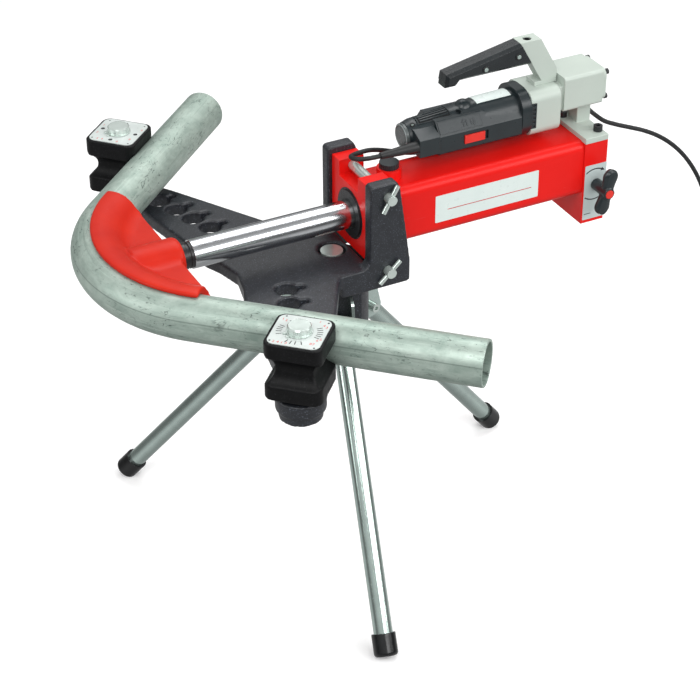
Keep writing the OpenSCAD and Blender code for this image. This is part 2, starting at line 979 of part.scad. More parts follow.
// Flat web blended into a round of radius r at the origin, on its -x side or on both sides
module web_blend(r, sides) {
    blend_z = web_t / 2 + web_fillet - fillet_lap;
    blend_x = sqrt((r + web_fillet) * (r + web_fillet) - blend_z * blend_z);
    high = blend_z * r / (r + web_fillet) - fillet_lap;
    difference() {
        translate([-blend_x, -high])
            square([sides * blend_x, 2 * high]);
        for (sx = [-1, 1], sz = [-1, 1])
            translate([sx * blend_x, sz * blend_z])
                circle(web_fillet);
    }
}

// Section of the former's grooved saddle, out from the bend's axis
module saddle_section() {
    saddle_r = saddle_mid - saddle_in;
    difference() {
        translate([saddle_mid, 0]) {
            circle(saddle_r);
            web_blend(saddle_r, 1);
        }
        translate([bend_r, 0])
            circle(pipe_r + running);
        translate([bend_r + lip_reach, -bend_r])
            square(2 * bend_r);
    }
}

module bending_former() {
    color(red_paint)
        on_floor()
            difference() {
                union() {
                    difference() {
                        union() {
                            translate([bend_x, 0, 0])
                                rotate([0, 0, 180 - former_half])
                                    rotate_extrude(angle = 2 * former_half)
                                        saddle_section();
                            translate([bend_x, 0, -web_t / 2])
                                cylinder(h = web_t, r = web_r);
                            slab_x(hub_root_x, web_x + overrun)
                                web_blend(hub_d / 2, 2);
                        }
                        box([web_x, -bend_r, -bend_r], [web_x + 2 * bend_r, bend_r, bend_r]);
                    }
                    turned_x(0)
                        polygon([
                            [0, hub_root_x], [hub_d / 2, hub_root_x], [hub_d / 2, hub_rear_x - hub_flare],
                            [hub_end_d / 2, hub_rear_x], [0, hub_rear_x]
                        ]);
                }
                rod_x(hub_rear_x - spigot_l - running, hub_rear_x + overrun, spigot_d / 2 + running);
            }
}

module pipe_ring(thin) {
    difference() {
        circle(pipe_r - thin);
        circle(pipe_r - pipe_wall + thin);
    }
}

// The bend and the far leg are drawn a little thinner, and the near leg laps over the bend's end
module bent_pipe() {
    color(zinc)
        on_floor()
            translate([bend_x, 0, 0]) {
                rotate([0, 0, 180 - bend_half]) {
                    rotate_extrude(angle = 2 * bend_half)
                        translate([bend_r, 0])
                            pipe_ring(bend_thin);
                    translate([bend_r, 0, 0])
                        rotate([90, 0, 0])
                            linear_extrude(far_leg)
                                pipe_ring(bend_thin);
                }
                rotate([0, 0, 180 + bend_half])
                    translate([bend_r, -leg_lap, 0])
                        rotate([-90, 0, 0])
                            linear_extrude(near_leg + leg_lap)
                                pipe_ring(0);
            }
}

// Rollers: side is 1 for the far one and -1 for the near one

module on_seat(side) {
    on_floor()
        translate([outer_seat_x, side * outer_seat_y, 0])
            children();
}

// Turns the roller so that its first groove lies along the pipe's leg
module along_leg(side) {
    rotate([0, 0, -side * bend_half])
        children();
}

module roller_block(side) {
    color(black_cast)
        on_seat(side)
            difference() {
                union() {
                    translate([0, 0, roller_z0])
                        along_leg(side)
                            linear_extrude(roller_h)
                                round_rect(roller_w, roller_w, roller_corner);
                    rod_z(plate_top + apart, roller_z0 + overrun, roller_hub_d / 2);
                }
                along_leg(side)
                    for (i = [0 : len(side_pipes_d) - 1])
                        rotate([0, 0, i * 90])
                            roller_groove(side_pipes_d[i] / 2 + apart);
                rod_z(plate_top - overrun, scale_top, roller_pin_d / 2 + loose);
            }
}

module roller_groove(r) {
    translate([groove_floor + r, 0, 0])
        rod_y(-roller_w, roller_w, r);
}

module scale_plate(side) {
    color(white_plate)
        on_seat(side)
            translate([0, 0, roller_h / 2])
                difference() {
                    along_leg(side)
                        linear_extrude(scale_t)
                            round_rect(scale_w, scale_w, scale_corner);
                    rod_z(-overrun, scale_t + overrun, roller_pin_d / 2 + apart);
                }
}

module roller_pin(side) {
    color(bright_steel)
        on_seat(side)
            difference() {
                union() {
                    rod_z(boss_bottom, pin_top - pin_edge, roller_pin_d / 2);
                    translate([0, 0, pin_top - pin_edge])
                        cylinder(h = pin_edge, r1 = roller_pin_d / 2, r2 = roller_pin_d / 2 - pin_edge);
                }
                difference() {
                    rod_z(ring_z, ring_z + ring_t, roller_pin_d);
                    rod_z(ring_z - overrun, ring_z + ring_t + overrun, roller_pin_d / 2 - ring_t);
                }
            }
}

module pin_ring(side) {
    ring_in = roller_pin_d / 2 - ring_t;
    eye_r = ring_w * ring_eye_share;
    color(bright_steel)
        on_seat(side)
            difference() {
                union() {
                    rod_z(ring_z, ring_z + ring_t, roller_pin_d / 2 + ring_w - ring_t);
                    for (turn = [-1, 1])
                        rotate([0, 0, 180 + turn * ring_eye_turn])
                            translate([roller_pin_d / 2 + ring_w, 0, 0])
                                rod_z(ring_z, ring_z + ring_t, eye_r);
                }
                rod_z(ring_z - overrun, ring_z + ring_t + overrun, ring_in);
            }
}

module near_roller() {
    roller_block(-1);
}

module far_roller() {
    roller_block(1);
}

module near_scale_plate() {
    scale_plate(-1);
}

module far_scale_plate() {
    scale_plate(1);
}

module near_roller_pin() {
    roller_pin(-1);
}

module far_roller_pin() {
    roller_pin(1);
}

module near_pin_ring() {
    pin_ring(-1);
}

module far_pin_ring() {
    pin_ring(1);
}

// Ear pins with their T-bars

module ear_pin(z, turn) {
    color(bright_steel)
        on_floor()
            translate([pin_x, 0, z])
                difference() {
                    rod_y(-ear_out - pin_head, ear_out + pin_tail, pin_r);
                    pin_bar_shape(turn, bar_d / 2 + running);
                }
}

module pin_bar_shape(turn, r) {
    translate([0, bar_y, 0])
        rotate([0, 90 - turn, 0])
            rod_z(-bar_l / 2, bar_l / 2, r);
}

module pin_bar(z, turn) {
    color(bright_steel)
        on_floor()
            translate([pin_x, 0, z])
                pin_bar_shape(turn, bar_d / 2);
}

module upper_ear_pin() {
    ear_pin(upper_pin_z, upper_bar_turn);
}

module upper_pin_bar() {
    pin_bar(upper_pin_z, upper_bar_turn);
}

module lower_ear_pin() {
    ear_pin(-lower_pin_drop, lower_bar_turn);
}

module lower_pin_bar() {
    pin_bar(-lower_pin_drop, lower_bar_turn);
}

// Tripod. In a leg's own axes x points out from the tripod axis.

module on_tripod(azimuth) {
    on_floor()
        translate([tripod_x, 0, 0])
            rotate([0, 0, azimuth])
                children();
}

module tripod_head() {
    color(black_cast)
        difference() {
            on_tripod(0)
                rod_z(head_bottom, plate_bottom, head_d / 2);
            for (azimuth = leg_azimuths)
                on_tripod(azimuth)
                    box([head_flat, -head_d, head_bottom - overrun],
                        [head_d, head_d, plate_bottom - head_rim]);
            on_tripod(0)
                rod_z(head_bottom - overrun, plate_bottom + overrun, centre_bolt_d / 2 + loose);
        }
}

module lug_outline() {
    out = hinge_r + lug_round;
    low = hinge_z - lug_round;
    points = [
        [head_flat, lug_top], [head_flat, low], [hinge_r - lug_round, low], [out, low],
        [out, hinge_z], [hinge_r, lug_top]
    ];
    polygon(rounded(points, [0, 0, 0, lug_round, 0, lug_round]));
}

module leg_lugs() {
    color(zinc)
        for (azimuth = leg_azimuths, side = [-1, 1])
            on_tripod(azimuth)
                difference() {
                    translate([0, side * (lug_in + lug_t / 2), 0])
                        slab_y(-lug_t / 2, lug_t / 2)
                            lug_outline();
                    leg_bolt_bore();
                }
}

module leg_bolt_bore() {
    translate([hinge_r, 0, hinge_z])
        rod_y(-head_d, head_d, leg_bolt_d / 2 + loose);
}

module leg_bolts() {
    color(bright_steel)
        for (azimuth = leg_azimuths)
            on_tripod(azimuth)
                translate([hinge_r, 0, hinge_z])
                    difference() {
                        union() {
                            rod_y(-lug_out, lug_out, leg_bolt_d / 2);
                            rod_y(-lug_out - leg_bolt_head_h, -lug_out, leg_bolt_head_d / 2);
                            translate([0, lug_out, 0])
                                rotate([-90, 0, 0])
                                    cylinder(h = leg_nut_h, d = leg_bolt_head_d, $fn = 6);
                        }
                        translate([0, -lug_out - leg_bolt_head_h / 2, 0])
                            rotate([90, 0, 0])
                                cylinder(h = leg_bolt_head_h, d = leg_bolt_socket_d, $fn = 6);
                    }
}

module centre_bolt() {
    head_top = plate_top - head_recess;
    color(bright_steel)
        on_tripod(0)
            union() {
                rod_z(head_top - centre_head_h, head_top, centre_head_d / 2);
                rod_z(head_bottom, head_top - centre_head_h, centre_bolt_d / 2);
            }
}

// Points a piece down a leg: its z axis runs from the hinge to the floor
module down_leg(azimuth) {
    on_tripod(azimuth)
        translate([hinge_r, 0, hinge_z])
            rotate([0, 180 - leg_tilt, 0])
                children();
}

module leg_tube(azimuth) {
    tube_end = leg_reach - foot_l + tube_in_foot;
    color(zinc)
        difference() {
            down_leg(azimuth)
                difference() {
                    rod_z(-leg_over, tube_end, leg_r);
                    rod_z(-leg_over - overrun, tube_end + overrun, leg_r - leg_wall);
                }
            on_tripod(azimuth)
                leg_bolt_bore();
        }
}

module foot_section() {
    square([foot_d / 2 - foot_round, foot_l]);
    square([foot_d / 2, foot_l - foot_round]);
    translate([foot_d / 2 - foot_round, foot_l - foot_round])
        circle(foot_round);
}

module foot_cap(azimuth) {
    color(black_rubber)
        difference() {
            down_leg(azimuth)
                difference() {
                    translate([0, 0, leg_reach - foot_l])
                        rotate_extrude()
                            foot_section();
                    rod_z(leg_reach - foot_l - overrun, leg_reach - foot_l + tube_in_foot, leg_r + running);
                }
            on_tripod(azimuth)
                box([0, -foot_r, -ram_h - foot_r], [2 * foot_r, foot_r, -ram_h]);
        }
}

module near_leg_tube() {
    leg_tube(leg_azimuths[0]);
}

module far_leg_tube() {
    leg_tube(leg_azimuths[1]);
}

module rear_leg_tube() {
    leg_tube(leg_azimuths[2]);
}

module near_foot_cap() {
    foot_cap(leg_azimuths[0]);
}

module far_foot_cap() {
    foot_cap(leg_azimuths[1]);
}

module rear_foot_cap() {
    foot_cap(leg_azimuths[2]);
}

// Pump. Its drive axis runs along x at unit_y and axis_z.

module on_drive() {
    on_floor()
        translate([0, unit_y, axis_z])
            children();
}

module pump_base() {
    color(light_grey)
        on_floor() {
            box([rear_x, -flange_half, rear_up], [back_x, flange_half, flange_top]);
            box([back_x - ped_l, unit_y - ped_w / 2, flange_top], [back_x, unit_y + ped_w / 2, pump_z]);
        }
}

module socket_bolt(d, h, socket_d) {
    difference() {
        cylinder(h = h, r = d / 2);
        translate([0, 0, h / 2])
            cylinder(h = h, d = socket_d, $fn = 6);
    }
}

module pump_base_bolts() {
    color(black_cast)
        on_floor()
            for (at = [near_bolt, far_bolt])
                translate([at.x, at.y, flange_top])
                    socket_bolt(base_bolt_d, base_bolt_h, base_socket_d);
}

module pump_housing() {
    color(light_grey)
        on_floor()
            translate([0, unit_y, pump_z + pump_h / 2]) {
                slab_x(pump_front, pump_rear)
                    round_rect(pump_w, pump_h, pump_corner);
                slab_x(gear_rear, pump_front)
                    translate([0, -neck_drop])
                        square([pump_w - 2 * neck_in, neck_h], center = true);
            }
}

module pump_rear_cover() {
    color(light_grey)
        on_floor()
            translate([0, unit_y, pump_z + pump_h / 2])
                slab_x(pump_rear, pump_rear + cover_t)
                    round_rect(pump_w - cover_in, pump_h - cover_in, 2 * pump_corner);
}

module pump_cover_bolts() {
    color(black_cast)
        on_floor()
            translate([pump_rear + cover_t, unit_y, pump_z + pump_h / 2])
                for (sy = [-1, 1], sz = [-1, 1])
                    translate([0, sy * (pump_w / 2 - cover_bolt_in), sz * (pump_h / 2 - cover_bolt_in)])
                        rod_x(0, cover_bolt_h, cover_bolt_d / 2);
}

module gear_housing() {
    color(light_grey)
        on_drive()
            difference() {
                slab_x(gear_front, gear_rear)
                    round_rect(gear_w, gear_w, gear_corner);
                vent_strip(0);
            }
}

// Dark vent strip let into the near face of the gear housing
module vent_strip(play) {
    half = gear_w / 2 - gear_corner - play;
    box([gear_front - play, -gear_w / 2 - overrun, -half],
        [gear_front + vent_l - play, -gear_w / 2 + vent_w, half]);
}

module motor_collar() {
    slot_gap = (gear_w - 2 * gear_corner) / vent_count;
    color(black_plastic)
        on_drive() {
            slab_x(collar_front, gear_front)
                round_rect(collar_w, collar_w, collar_corner);
            difference() {
                intersection() {
                    vent_strip(0);
                    box([gear_front, -gear_w / 2, -gear_w], [gear_front + gear_l, gear_w, gear_w]);
                }
                for (i = [0 : vent_count - 1])
                    translate([0, 0, (i - vent_count / 2 + 1 / 2) * slot_gap])
                        box([gear_front + vent_w / 2, -gear_w, -vent_w / 2],
                            [gear_front + vent_l - vent_w / 2, -gear_w / 2 + vent_w / 2, vent_w / 2]);
            }
        }
}

// Motor

module barrel(play) {
    count = len(barrel_x_shares);
    turned_x(0)
        polygon(concat(
            [[0, motor_front]],
            [for (i = [0 : count - 1])
                [motor_r * barrel_r_shares[i] + play, motor_front + motor_l * barrel_x_shares[i]]],
            [[0, collar_front]]
        ));
}

module rail_outline() {
    side = rail_w / 2;
    points = [
        [-side, -rail_down], [side, -rail_down], [side, rail_up],
        [side * rail_shoulder_share, motor_r * rail_crown_share],
        [-side * rail_shoulder_share, motor_r * rail_crown_share], [-side, rail_up]
    ];
    polygon(rounded(points, [rail_corner, rail_corner, rail_corner, rail_corner, rail_corner, rail_corner]));
}

module motor_housing() {
    color(black_plastic)
        on_drive()
            difference() {
                union() {
                    barrel(0);
                    slab_x(rail_x, collar_front)
                        rail_outline();
                    translate([motor_front + hump_in, 0, hump_up])
                        sphere(hump_r);
                }
                for (turn = eye_turns)
                    rotate([turn, 0, 0])
                        translate([motor_front + eye_in, 0, 0])
                            rod_z(motor_r - eye_depth - slot_depth, motor_d, eye_d / 2);
                for (turn = slot_turns)
                    rotate([turn, 0, 0])
                        translate([slot_x, 0, motor_r * barrel_r_shares[2] - slot_depth])
                            rotate([0, slot_pitch, 0])
                                box([0, -slot_t / 2, 0], [slot_l, slot_t / 2, motor_r]);
                translate([switch_x - apart, -rail_w / 2, switch_z - axis_z - apart])
                    box([0, -overrun, 0],
                        [switch_l + switch_travel + 2 * apart, switch_floor, switch_h + 2 * apart]);
            }
}

module motor_end_cap() {
    color(black_plastic)
        on_drive()
            union() {
                rod_x(motor_front - end_cap_l, motor_front, end_cap_d / 2);
                rod_x(motor_front - end_cap_l - overrun, motor_front, end_cap_d / 2 - end_cap_l);
            }
}

module cord_block() {
    color(black_plastic)
        on_drive()
            difference() {
                slab_x(block_x0, rail_x - block_gap)
                    polygon([
                        [-block_side, -block_low], [0, -block_low], [0, block_crown],
                        [-block_crown_in, block_crown], [-block_side, block_side_up]
                    ]);
                barrel(running);
            }
}

module cord_boot() {
    color(black_rubber)
        on_floor()
            translate([0, boot_y, boot_z])
                turned_x(block_x0 - boot_l)
                    polygon([[0, 0], [boot_tip_d / 2, 0], [boot_root_d / 2, boot_l], [0, boot_l]]);
}

module motor_switch() {
    color(red_paint)
        on_drive()
            translate([switch_x, -rail_w / 2, switch_z - axis_z])
                box([0, -switch_proud, 0], [switch_l, switch_floor - apart, switch_h]);
}

// Handle

module handle_arm() {
    base = gear_rear - arm_base;
    heel = gear_rear + arm_heel;
    color(light_grey)
        on_floor()
            difference() {
                slab_y(arm_y0, arm_y0 + arm_w)
                    polygon([
                        [base, gear_top], [heel, gear_top], [heel, gear_top + arm_heel_h],
                        arm_tip + [arm_top_l, 0], arm_tip, arm_foot, [base, gear_top + arm_step]
                    ]);
                translate([arm_tip.x + arm_top_l / 2, unit_y, 0])
                    rod_z(arm_tip.y - arm_hole_depth, arm_tip.y + overrun, arm_hole_d / 2);
            }
}

// Bar of the grip seen from the side, drawn in by inset
function grip_bar(inset) = [
    [grip_front_x + inset, arm_tip.y - grip_rise - inset],
    [grip_front_x - grip_nose + inset, grip_low.y + inset],
    grip_low - arm_slope * inset,
    arm_tip + arm_slope * inset
];

// Hooked front end of the grip seen from the side, drawn in by inset
function grip_hook_end(inset) = [
    [grip_front_x + inset, arm_tip.y - grip_rise - inset],
    [grip_front_x - grip_nose + inset, arm_tip.y - grip_rise - grip_end + inset],
    [grip_front_x - grip_nose + grip_hook_l, arm_tip.y - grip_rise - grip_end + inset],
    [grip_front_x - grip_nose + grip_hook_l + grip_hook_run, grip_low.y + inset],
    [grip_front_x + grip_hook_l, arm_tip.y - grip_rise - inset]
];

module grip_half(side) {
    half_w = grip_w / 2;
    color(black_plastic)
        on_floor()
            translate([0, unit_y, 0])
                mirror([0, side < 0 ? 0 : 1, 0])
                    union() {
                        for (shape = [0, 1])
                            hull() {
                                slab_y(-half_w + grip_edge, 0)
                                    polygon(shape == 0 ? grip_bar(0) : grip_hook_end(0));
                                slab_y(-half_w, 0)
                                    polygon(shape == 0 ? grip_bar(grip_edge) : grip_hook_end(grip_edge));
                            }
                    }
}

module near_grip_half() {
    grip_half(-1);
}

module far_grip_half() {
    grip_half(1);
}

module grip_screws() {
    color(bright_steel)
        on_floor()
            for (share = screw_shares)
                translate([grip_front_x + grip_l * share, unit_y - grip_w / 2,
                        grip_low.y + grip_depth * share / 2])
                    rod_y(-screw_h, 0, screw_d / 2);
}

// Cord

// Point at share t of the span from b to c, on a smooth curve through a, b, c and d
function smooth_point(a, b, c, d, t) =
    ((2 * b) + (c - a) * t + (2 * a - 5 * b + 4 * c - d) * t * t
        + (3 * b - a - 3 * c + d) * t * t * t) / 2;

function smooth_path(points, steps) =
    let (n = len(points))
    concat(
        [for (i = [0 : n - 2], k = [0 : steps - 1])
            smooth_point(points[max(i - 1, 0)], points[i], points[i + 1],
                points[min(i + 2, n - 1)], k / steps)],
        [points[n - 1]]
    );

function heading(path, i) =
    unit(path[min(i + 1, len(path) - 1)] - path[max(i - 1, 0)]);

// Side vectors carried along the path with the least twist
function carried(path, i, last) =
    i == len(path) ? [] :
    let (t = heading(path, i), v = unit(last - t * (last * t)))
    concat([v], carried(path, i + 1, v));

module tube(path, r, sides) {
    count = len(path);
    across = carried(path, 0, first_side);
    points = [for (i = [0 : count - 1], k = [0 : sides - 1])
        let (t = heading(path, i), a = 360 * k / sides)
        path[i] + r * (across[i] * cos(a) + cross(t, across[i]) * sin(a))];
    walls = [for (i = [0 : count - 2], k = [0 : sides - 1], half = [0, 1])
        let (a = i * sides + k, b = i * sides + (k + 1) % sides)
        half == 0 ? [a, a + sides, b] : [b, a + sides, b + sides]];
    ends = concat(
        [for (k = [1 : sides - 2]) [0, k, k + 1]],
        [for (k = [1 : sides - 2]) let (a = (count - 1) * sides) [a, a + k + 1, a + k]]
    );
    polyhedron(points = points, faces = concat(walls, ends), convexity = 10);
}

cord_path = smooth_path(cord_route, cord_steps);
coil_entry = cord_route[len(cord_route) - 1];
coil_centre = coil_entry + [cord_d, -coil_r_out, 0];
coil_climb = 0.5;
coil_turns = coil_turns_in + coil_climb + coil_turns_out;

// Radius and height of the coil after some turns: in, up half a turn with a dip, and out
function coil_radius(turn) =
    turn < coil_turns_in ? coil_r_out - (coil_r_out - coil_r_in) * turn / coil_turns_in :
    turn < coil_turns_in + coil_climb ?
        coil_r_in - coil_dip * sin(180 * (turn - coil_turns_in) / coil_climb) :
    coil_r_in + (coil_r_out - coil_r_in) * (turn - coil_turns_in - coil_climb) / coil_turns_out;

function coil_rise(turn) =
    coil_layer * min(max((turn - coil_turns_in) / coil_climb, 0), 1);

function coil_point(turn) =
    coil_centre + [coil_radius(turn) * sin(360 * turn), coil_radius(turn) * cos(360 * turn), coil_rise(turn)];

coil_end = coil_point(coil_turns) + [coil_exit, 0, 0];
coil_path = concat(
    [coil_entry],
    [for (i = [0 : coil_turns * coil_rings]) coil_point(i / coil_rings)],
    [coil_end - [cord_d, 0, 0], coil_end]
);

// Least gap between turns, measured between ring centres a turn or more apart
coil_gap = min([for (i = [0 : len(coil_path) - 1], j = [i + coil_rings - 2 : len(coil_path) - 1])
    if (j < len(coil_path)) norm(coil_path[i] - coil_path[j])]) - cord_d;
echo(coil_gap = coil_gap);

module cord_run() {
    color(black_rubber)
        on_floor()
            tube(cord_path, cord_d / 2, cord_sides);
}

module cord_coil() {
    color(black_rubber)
        on_floor()
            tube(coil_path, cord_d / 2, coil_sides);
}

module coil_tie() {
    inner = coil_r_in - cord_d / 2 - apart;
    outer = coil_r_out + cord_d / 2 + apart;
    low = -cord_d / 2 - apart / 2;
    high = coil_layer + cord_d / 2 + apart;
    color(black_plastic)
        on_floor()
            translate(coil_centre)
                difference() {
                    box([inner - tie_t, -tie_w / 2, low - tie_t], [outer + tie_t, tie_w / 2, high + tie_t]);
                    box([inner, -tie_w, low], [outer, tie_w, high]);
                }
}

module plug_body() {
    half_h = coil_end.z + ram_h;
    color(black_rubber)
        on_floor()
            translate(coil_end) {
                slab_x(0, plug_neck_l)
                    circle(half_h * plug_neck_share);
                slab_x(plug_neck_l, plug_l)
                    round_rect(plug_w, 2 * half_h, plug_corner);
            }
}

module plug_pins() {
    color(bright_steel)
        on_floor()
            translate(coil_end)
                for (side = [-1, 1])
                    translate([0, side * plug_pin_gap / 2, 0])
                        rod_x(plug_l, plug_l + plug_pin_l, plug_pin_d / 2);
}

bending_frame();
front_block();
rod_gland();
rod_wiper();
cylinder_tube();
rear_block();
pump_base();
pump_base_bolts();
pump_housing();
pump_rear_cover();
pump_cover_bolts();
gear_housing();
handle_arm();
near_grip_half();
far_grip_half();
grip_screws();
motor_collar();
motor_housing();
motor_end_cap();
cord_block();
cord_boot();
tripod_head();
leg_lugs();
leg_bolts();
centre_bolt();
ram_rod();
ram_nose();
ram_piston();
piston_seal();
bending_former();
bent_pipe();
near_roller();
near_scale_plate();
near_roller_pin();
near_pin_ring();
far_roller();
far_scale_plate();
far_roller_pin();
far_pin_ring();
upper_ear_pin();
upper_pin_bar();
lower_ear_pin();
lower_pin_bar();
valve_spindle();
valve_knob();
valve_knob_cap();
filler_cap();
motor_switch();
near_leg_tube();
far_leg_tube();
rear_leg_tube();
near_foot_cap();
far_foot_cap();
rear_foot_cap();
cord_run();
cord_coil();
coil_tie();
plug_body();
plug_pins();
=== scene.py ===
"""Looks of the hydraulic pipe bender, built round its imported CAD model."""

import json
import math

import bmesh
import bpy
from mathutils import Matrix, Vector


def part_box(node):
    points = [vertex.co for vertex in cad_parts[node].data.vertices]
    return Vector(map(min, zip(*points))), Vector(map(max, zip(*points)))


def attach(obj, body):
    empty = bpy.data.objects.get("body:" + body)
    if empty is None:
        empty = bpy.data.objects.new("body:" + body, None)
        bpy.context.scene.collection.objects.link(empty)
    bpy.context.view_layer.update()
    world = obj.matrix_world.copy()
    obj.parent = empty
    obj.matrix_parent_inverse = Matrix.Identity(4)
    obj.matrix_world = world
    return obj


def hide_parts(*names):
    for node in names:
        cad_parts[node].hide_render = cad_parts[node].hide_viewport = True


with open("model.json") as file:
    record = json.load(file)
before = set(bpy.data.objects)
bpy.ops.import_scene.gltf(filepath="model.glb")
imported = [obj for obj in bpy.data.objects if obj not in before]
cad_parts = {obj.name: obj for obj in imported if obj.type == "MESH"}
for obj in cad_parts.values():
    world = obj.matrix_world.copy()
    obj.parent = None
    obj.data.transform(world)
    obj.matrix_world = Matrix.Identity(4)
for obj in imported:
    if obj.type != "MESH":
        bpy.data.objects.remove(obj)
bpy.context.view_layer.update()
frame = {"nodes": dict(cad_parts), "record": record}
nodes = frame["nodes"]
MM = 0.001

# The CAD draws the machine about the ram axis, from the front face of the
# cylinder's front block. These two boxes give that point in the row's frame.
block_low, _ = (Vector(c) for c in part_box("front_block"))
rod_low, rod_high = (Vector(c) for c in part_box("ram_rod"))
RAM = Vector((block_low.x, (rod_low.y + rod_high.y) / 2, (rod_low.z + rod_high.z) / 2))


def at(x, y, z):
    """A point of the machine's axes, in millimetres, as a point of the row."""
    return RAM + Vector((x, y, z)) * MM


# Camera

IMAGE_PX = 700
SENSOR_MM = 36
FOCAL_PX = 2095.4
CAMERA_AT = at(-1112.9, -2180.7, 1405.2)
CAMERA_LOOKS_AT = at(55.5, 111.0, -301.6)
CAMERA_ROLL = math.radians(-0.23)
PRINCIPAL_PX = (349.8, 349.0)
CLIP_M = (0.05, 200)


def make_camera():
    data = bpy.data.cameras.new("camera")
    data.sensor_width = SENSOR_MM
    data.lens = FOCAL_PX * SENSOR_MM / IMAGE_PX
    data.shift_x = (IMAGE_PX / 2 - PRINCIPAL_PX[0]) / IMAGE_PX
    data.shift_y = (PRINCIPAL_PX[1] - IMAGE_PX / 2) / IMAGE_PX
    data.clip_start, data.clip_end = CLIP_M
    camera = bpy.data.objects.new("camera", data)
    camera.location = CAMERA_AT
    aim = (CAMERA_LOOKS_AT - CAMERA_AT).to_track_quat("-Z", "Y").to_matrix()
    camera.rotation_euler = (aim @ Matrix.Rotation(CAMERA_ROLL, 3, "Z")).to_euler()
    bpy.context.collection.objects.link(camera)
    bpy.context.scene.camera = camera


make_camera()

# Materials


def scaled(colour, factor):
    """A colour made darker or lighter."""
    return tuple(min(1.0, factor * c) for c in colour)


class Shader:
    """A node material with short helpers. Coordinates are the row's metres."""

    def __init__(self, name):
        self.material = bpy.data.materials.new(name)
        self.material.use_nodes = True
        self.tree = self.material.node_tree
        self.bsdf = self.tree.nodes["Principled BSDF"]
        self.coords = self.tree.nodes.new("ShaderNodeTexCoord").outputs["Object"]

    def add(self, kind, inputs=(), **settings):
        node = self.tree.nodes.new(kind)
        for key, value in settings.items():
            setattr(node, key, value)
        for key, value in dict(inputs).items():
            if isinstance(value, bpy.types.NodeSocket):
                self.tree.links.new(value, node.inputs[key])
            else:
                node.inputs[key].default_value = value
        return node

    def stretched(self, scale, vector=None):
        """Coordinates scaled by a vector, for streaks and brushing."""
        return self.add("ShaderNodeMapping", {"Vector": vector or self.coords, "Scale": scale}).outputs[0]

    def noise(self, scale, detail=4.0, roughness=0.55, vector=None, distortion=0.0):
        return self.add(
            "ShaderNodeTexNoise",
            {
                "Vector": vector or self.coords,
                "Scale": scale,
                "Detail": detail,
                "Roughness": roughness,
                "Distortion": distortion,
            },
        ).outputs["Fac"]

    def cells(self, scale, vector):
        """A random colour for each cell of a surface that is broken into cells."""
        return self.add("ShaderNodeTexVoronoi", {"Vector": vector, "Scale": scale}).outputs["Color"]

    def part(self, vector, axis):
        return self.add("ShaderNodeSeparateXYZ", {0: vector}).outputs[axis]

    def calc(self, operation, *values):
        return self.add("ShaderNodeMath", dict(enumerate(values)), operation=operation).outputs[0]

    def distance(self, value, middle):
        """How far a value is from a middle one."""
        return self.calc("ABSOLUTE", self.calc("SUBTRACT", value, middle))

    def span(self, value, low, high, to_low, to_high):
        """Maps low..high of a value to to_low..to_high, clamped."""
        return self.add(
            "ShaderNodeMapRange",
            {"Value": value, "From Min": low, "From Max": high, "To Min": to_low, "To Max": to_high},
        ).outputs[0]

    def mix(self, amount, a, b):
        """Mixes two colours."""
        node = self.add("ShaderNodeMix", data_type="RGBA")
        for socket, value in ((node.inputs[0], amount), (node.inputs[6], a), (node.inputs[7], b)):
            if isinstance(value, bpy.types.NodeSocket):
                self.tree.links.new(value, socket)
            elif isinstance(value, (int, float)):
                socket.default_value = value
            else:
                socket.default_value = (*value, 1)
        return node.outputs[2]

    def bump(self, height, strength, distance, normal=None):
        inputs = {"Height": height, "Strength": strength, "Distance": distance}
        if normal:
            inputs["Normal"] = normal
        return self.add("ShaderNodeBump", inputs).outputs[0]

    def soft_edges(self, radius):
        return self.add("ShaderNodeBevel", {"Radius": radius}, samples=4).outputs[0]

    def finish(self, **sockets):
        for key, value in sockets.items():
            socket = self.bsdf.inputs[key.replace("_", " ")]
            if isinstance(value, bpy.types.NodeSocket):
                self.tree.links.new(value, socket)
            else:
                socket.default_value = value
        return self.material


def gloss_paint(name, colour, shade, rough=(0.3, 0.42), edge=0.9 * MM, coat=0.12, glare=0.42):
    """Sprayed paint: faint orange peel, soft changes of shade, and a few pale rub marks."""
    s = Shader(name)
    tone = s.span(s.noise(11.0, 5), 0.35, 0.7, 0.0, 1.0)
    rubs = s.span(s.noise(1.0, 5, 0.7, s.stretched((30.0, 260.0, 260.0))), 0.66, 0.8, 0.0, 0.22)
    pale = tuple(c + 0.35 * (0.8 - c) for c in colour)
    peel = s.bump(s.noise(420.0, 2), 0.07, 0.25 * MM, s.soft_edges(edge))
    return s.finish(
        Base_Color=s.mix(rubs, s.mix(tone, colour, shade), pale),
        Roughness=s.span(s.noise(34.0, 5), 0.3, 0.75, *rough),
        Normal=peel,
        Coat_Weight=coat,
        Coat_Roughness=0.15,
        Specular_IOR_Level=glare,
    )


def cast_black(name, colour, light, rough=(0.42, 0.62), speck_size=520.0, specks=0.55, gloss=0.5):
    """Black paint on a cast surface: pitted, speckled, slightly uneven."""
    s = Shader(name)
    pits = s.noise(speck_size, 3, 0.7)
    lumps = s.noise(70.0, 4)
    dots = s.span(s.noise(560.0, 2, 0.6), 0.61, 0.68, 0.0, specks)
    tone = s.mix(s.span(lumps, 0.3, 0.75, 0.0, 1.0), colour, light)
    base = s.mix(dots, tone, scaled(light, 7.0))
    low = s.bump(lumps, 0.2, 0.6 * MM, s.soft_edges(1.0 * MM))
    return s.finish(
        Base_Color=base,
        Roughness=s.span(s.noise(150.0, 4), 0.3, 0.75, *rough),
        Normal=s.bump(pits, 0.3, 0.35 * MM, low),
        Specular_IOR_Level=gloss,
    )


# The pipe's weld line: its place round the pipe, and how far off it is full and has faded, in metres
WELD_AT = 0.0105
WELD_FULL, WELD_FADED = 0.0004, 0.0012


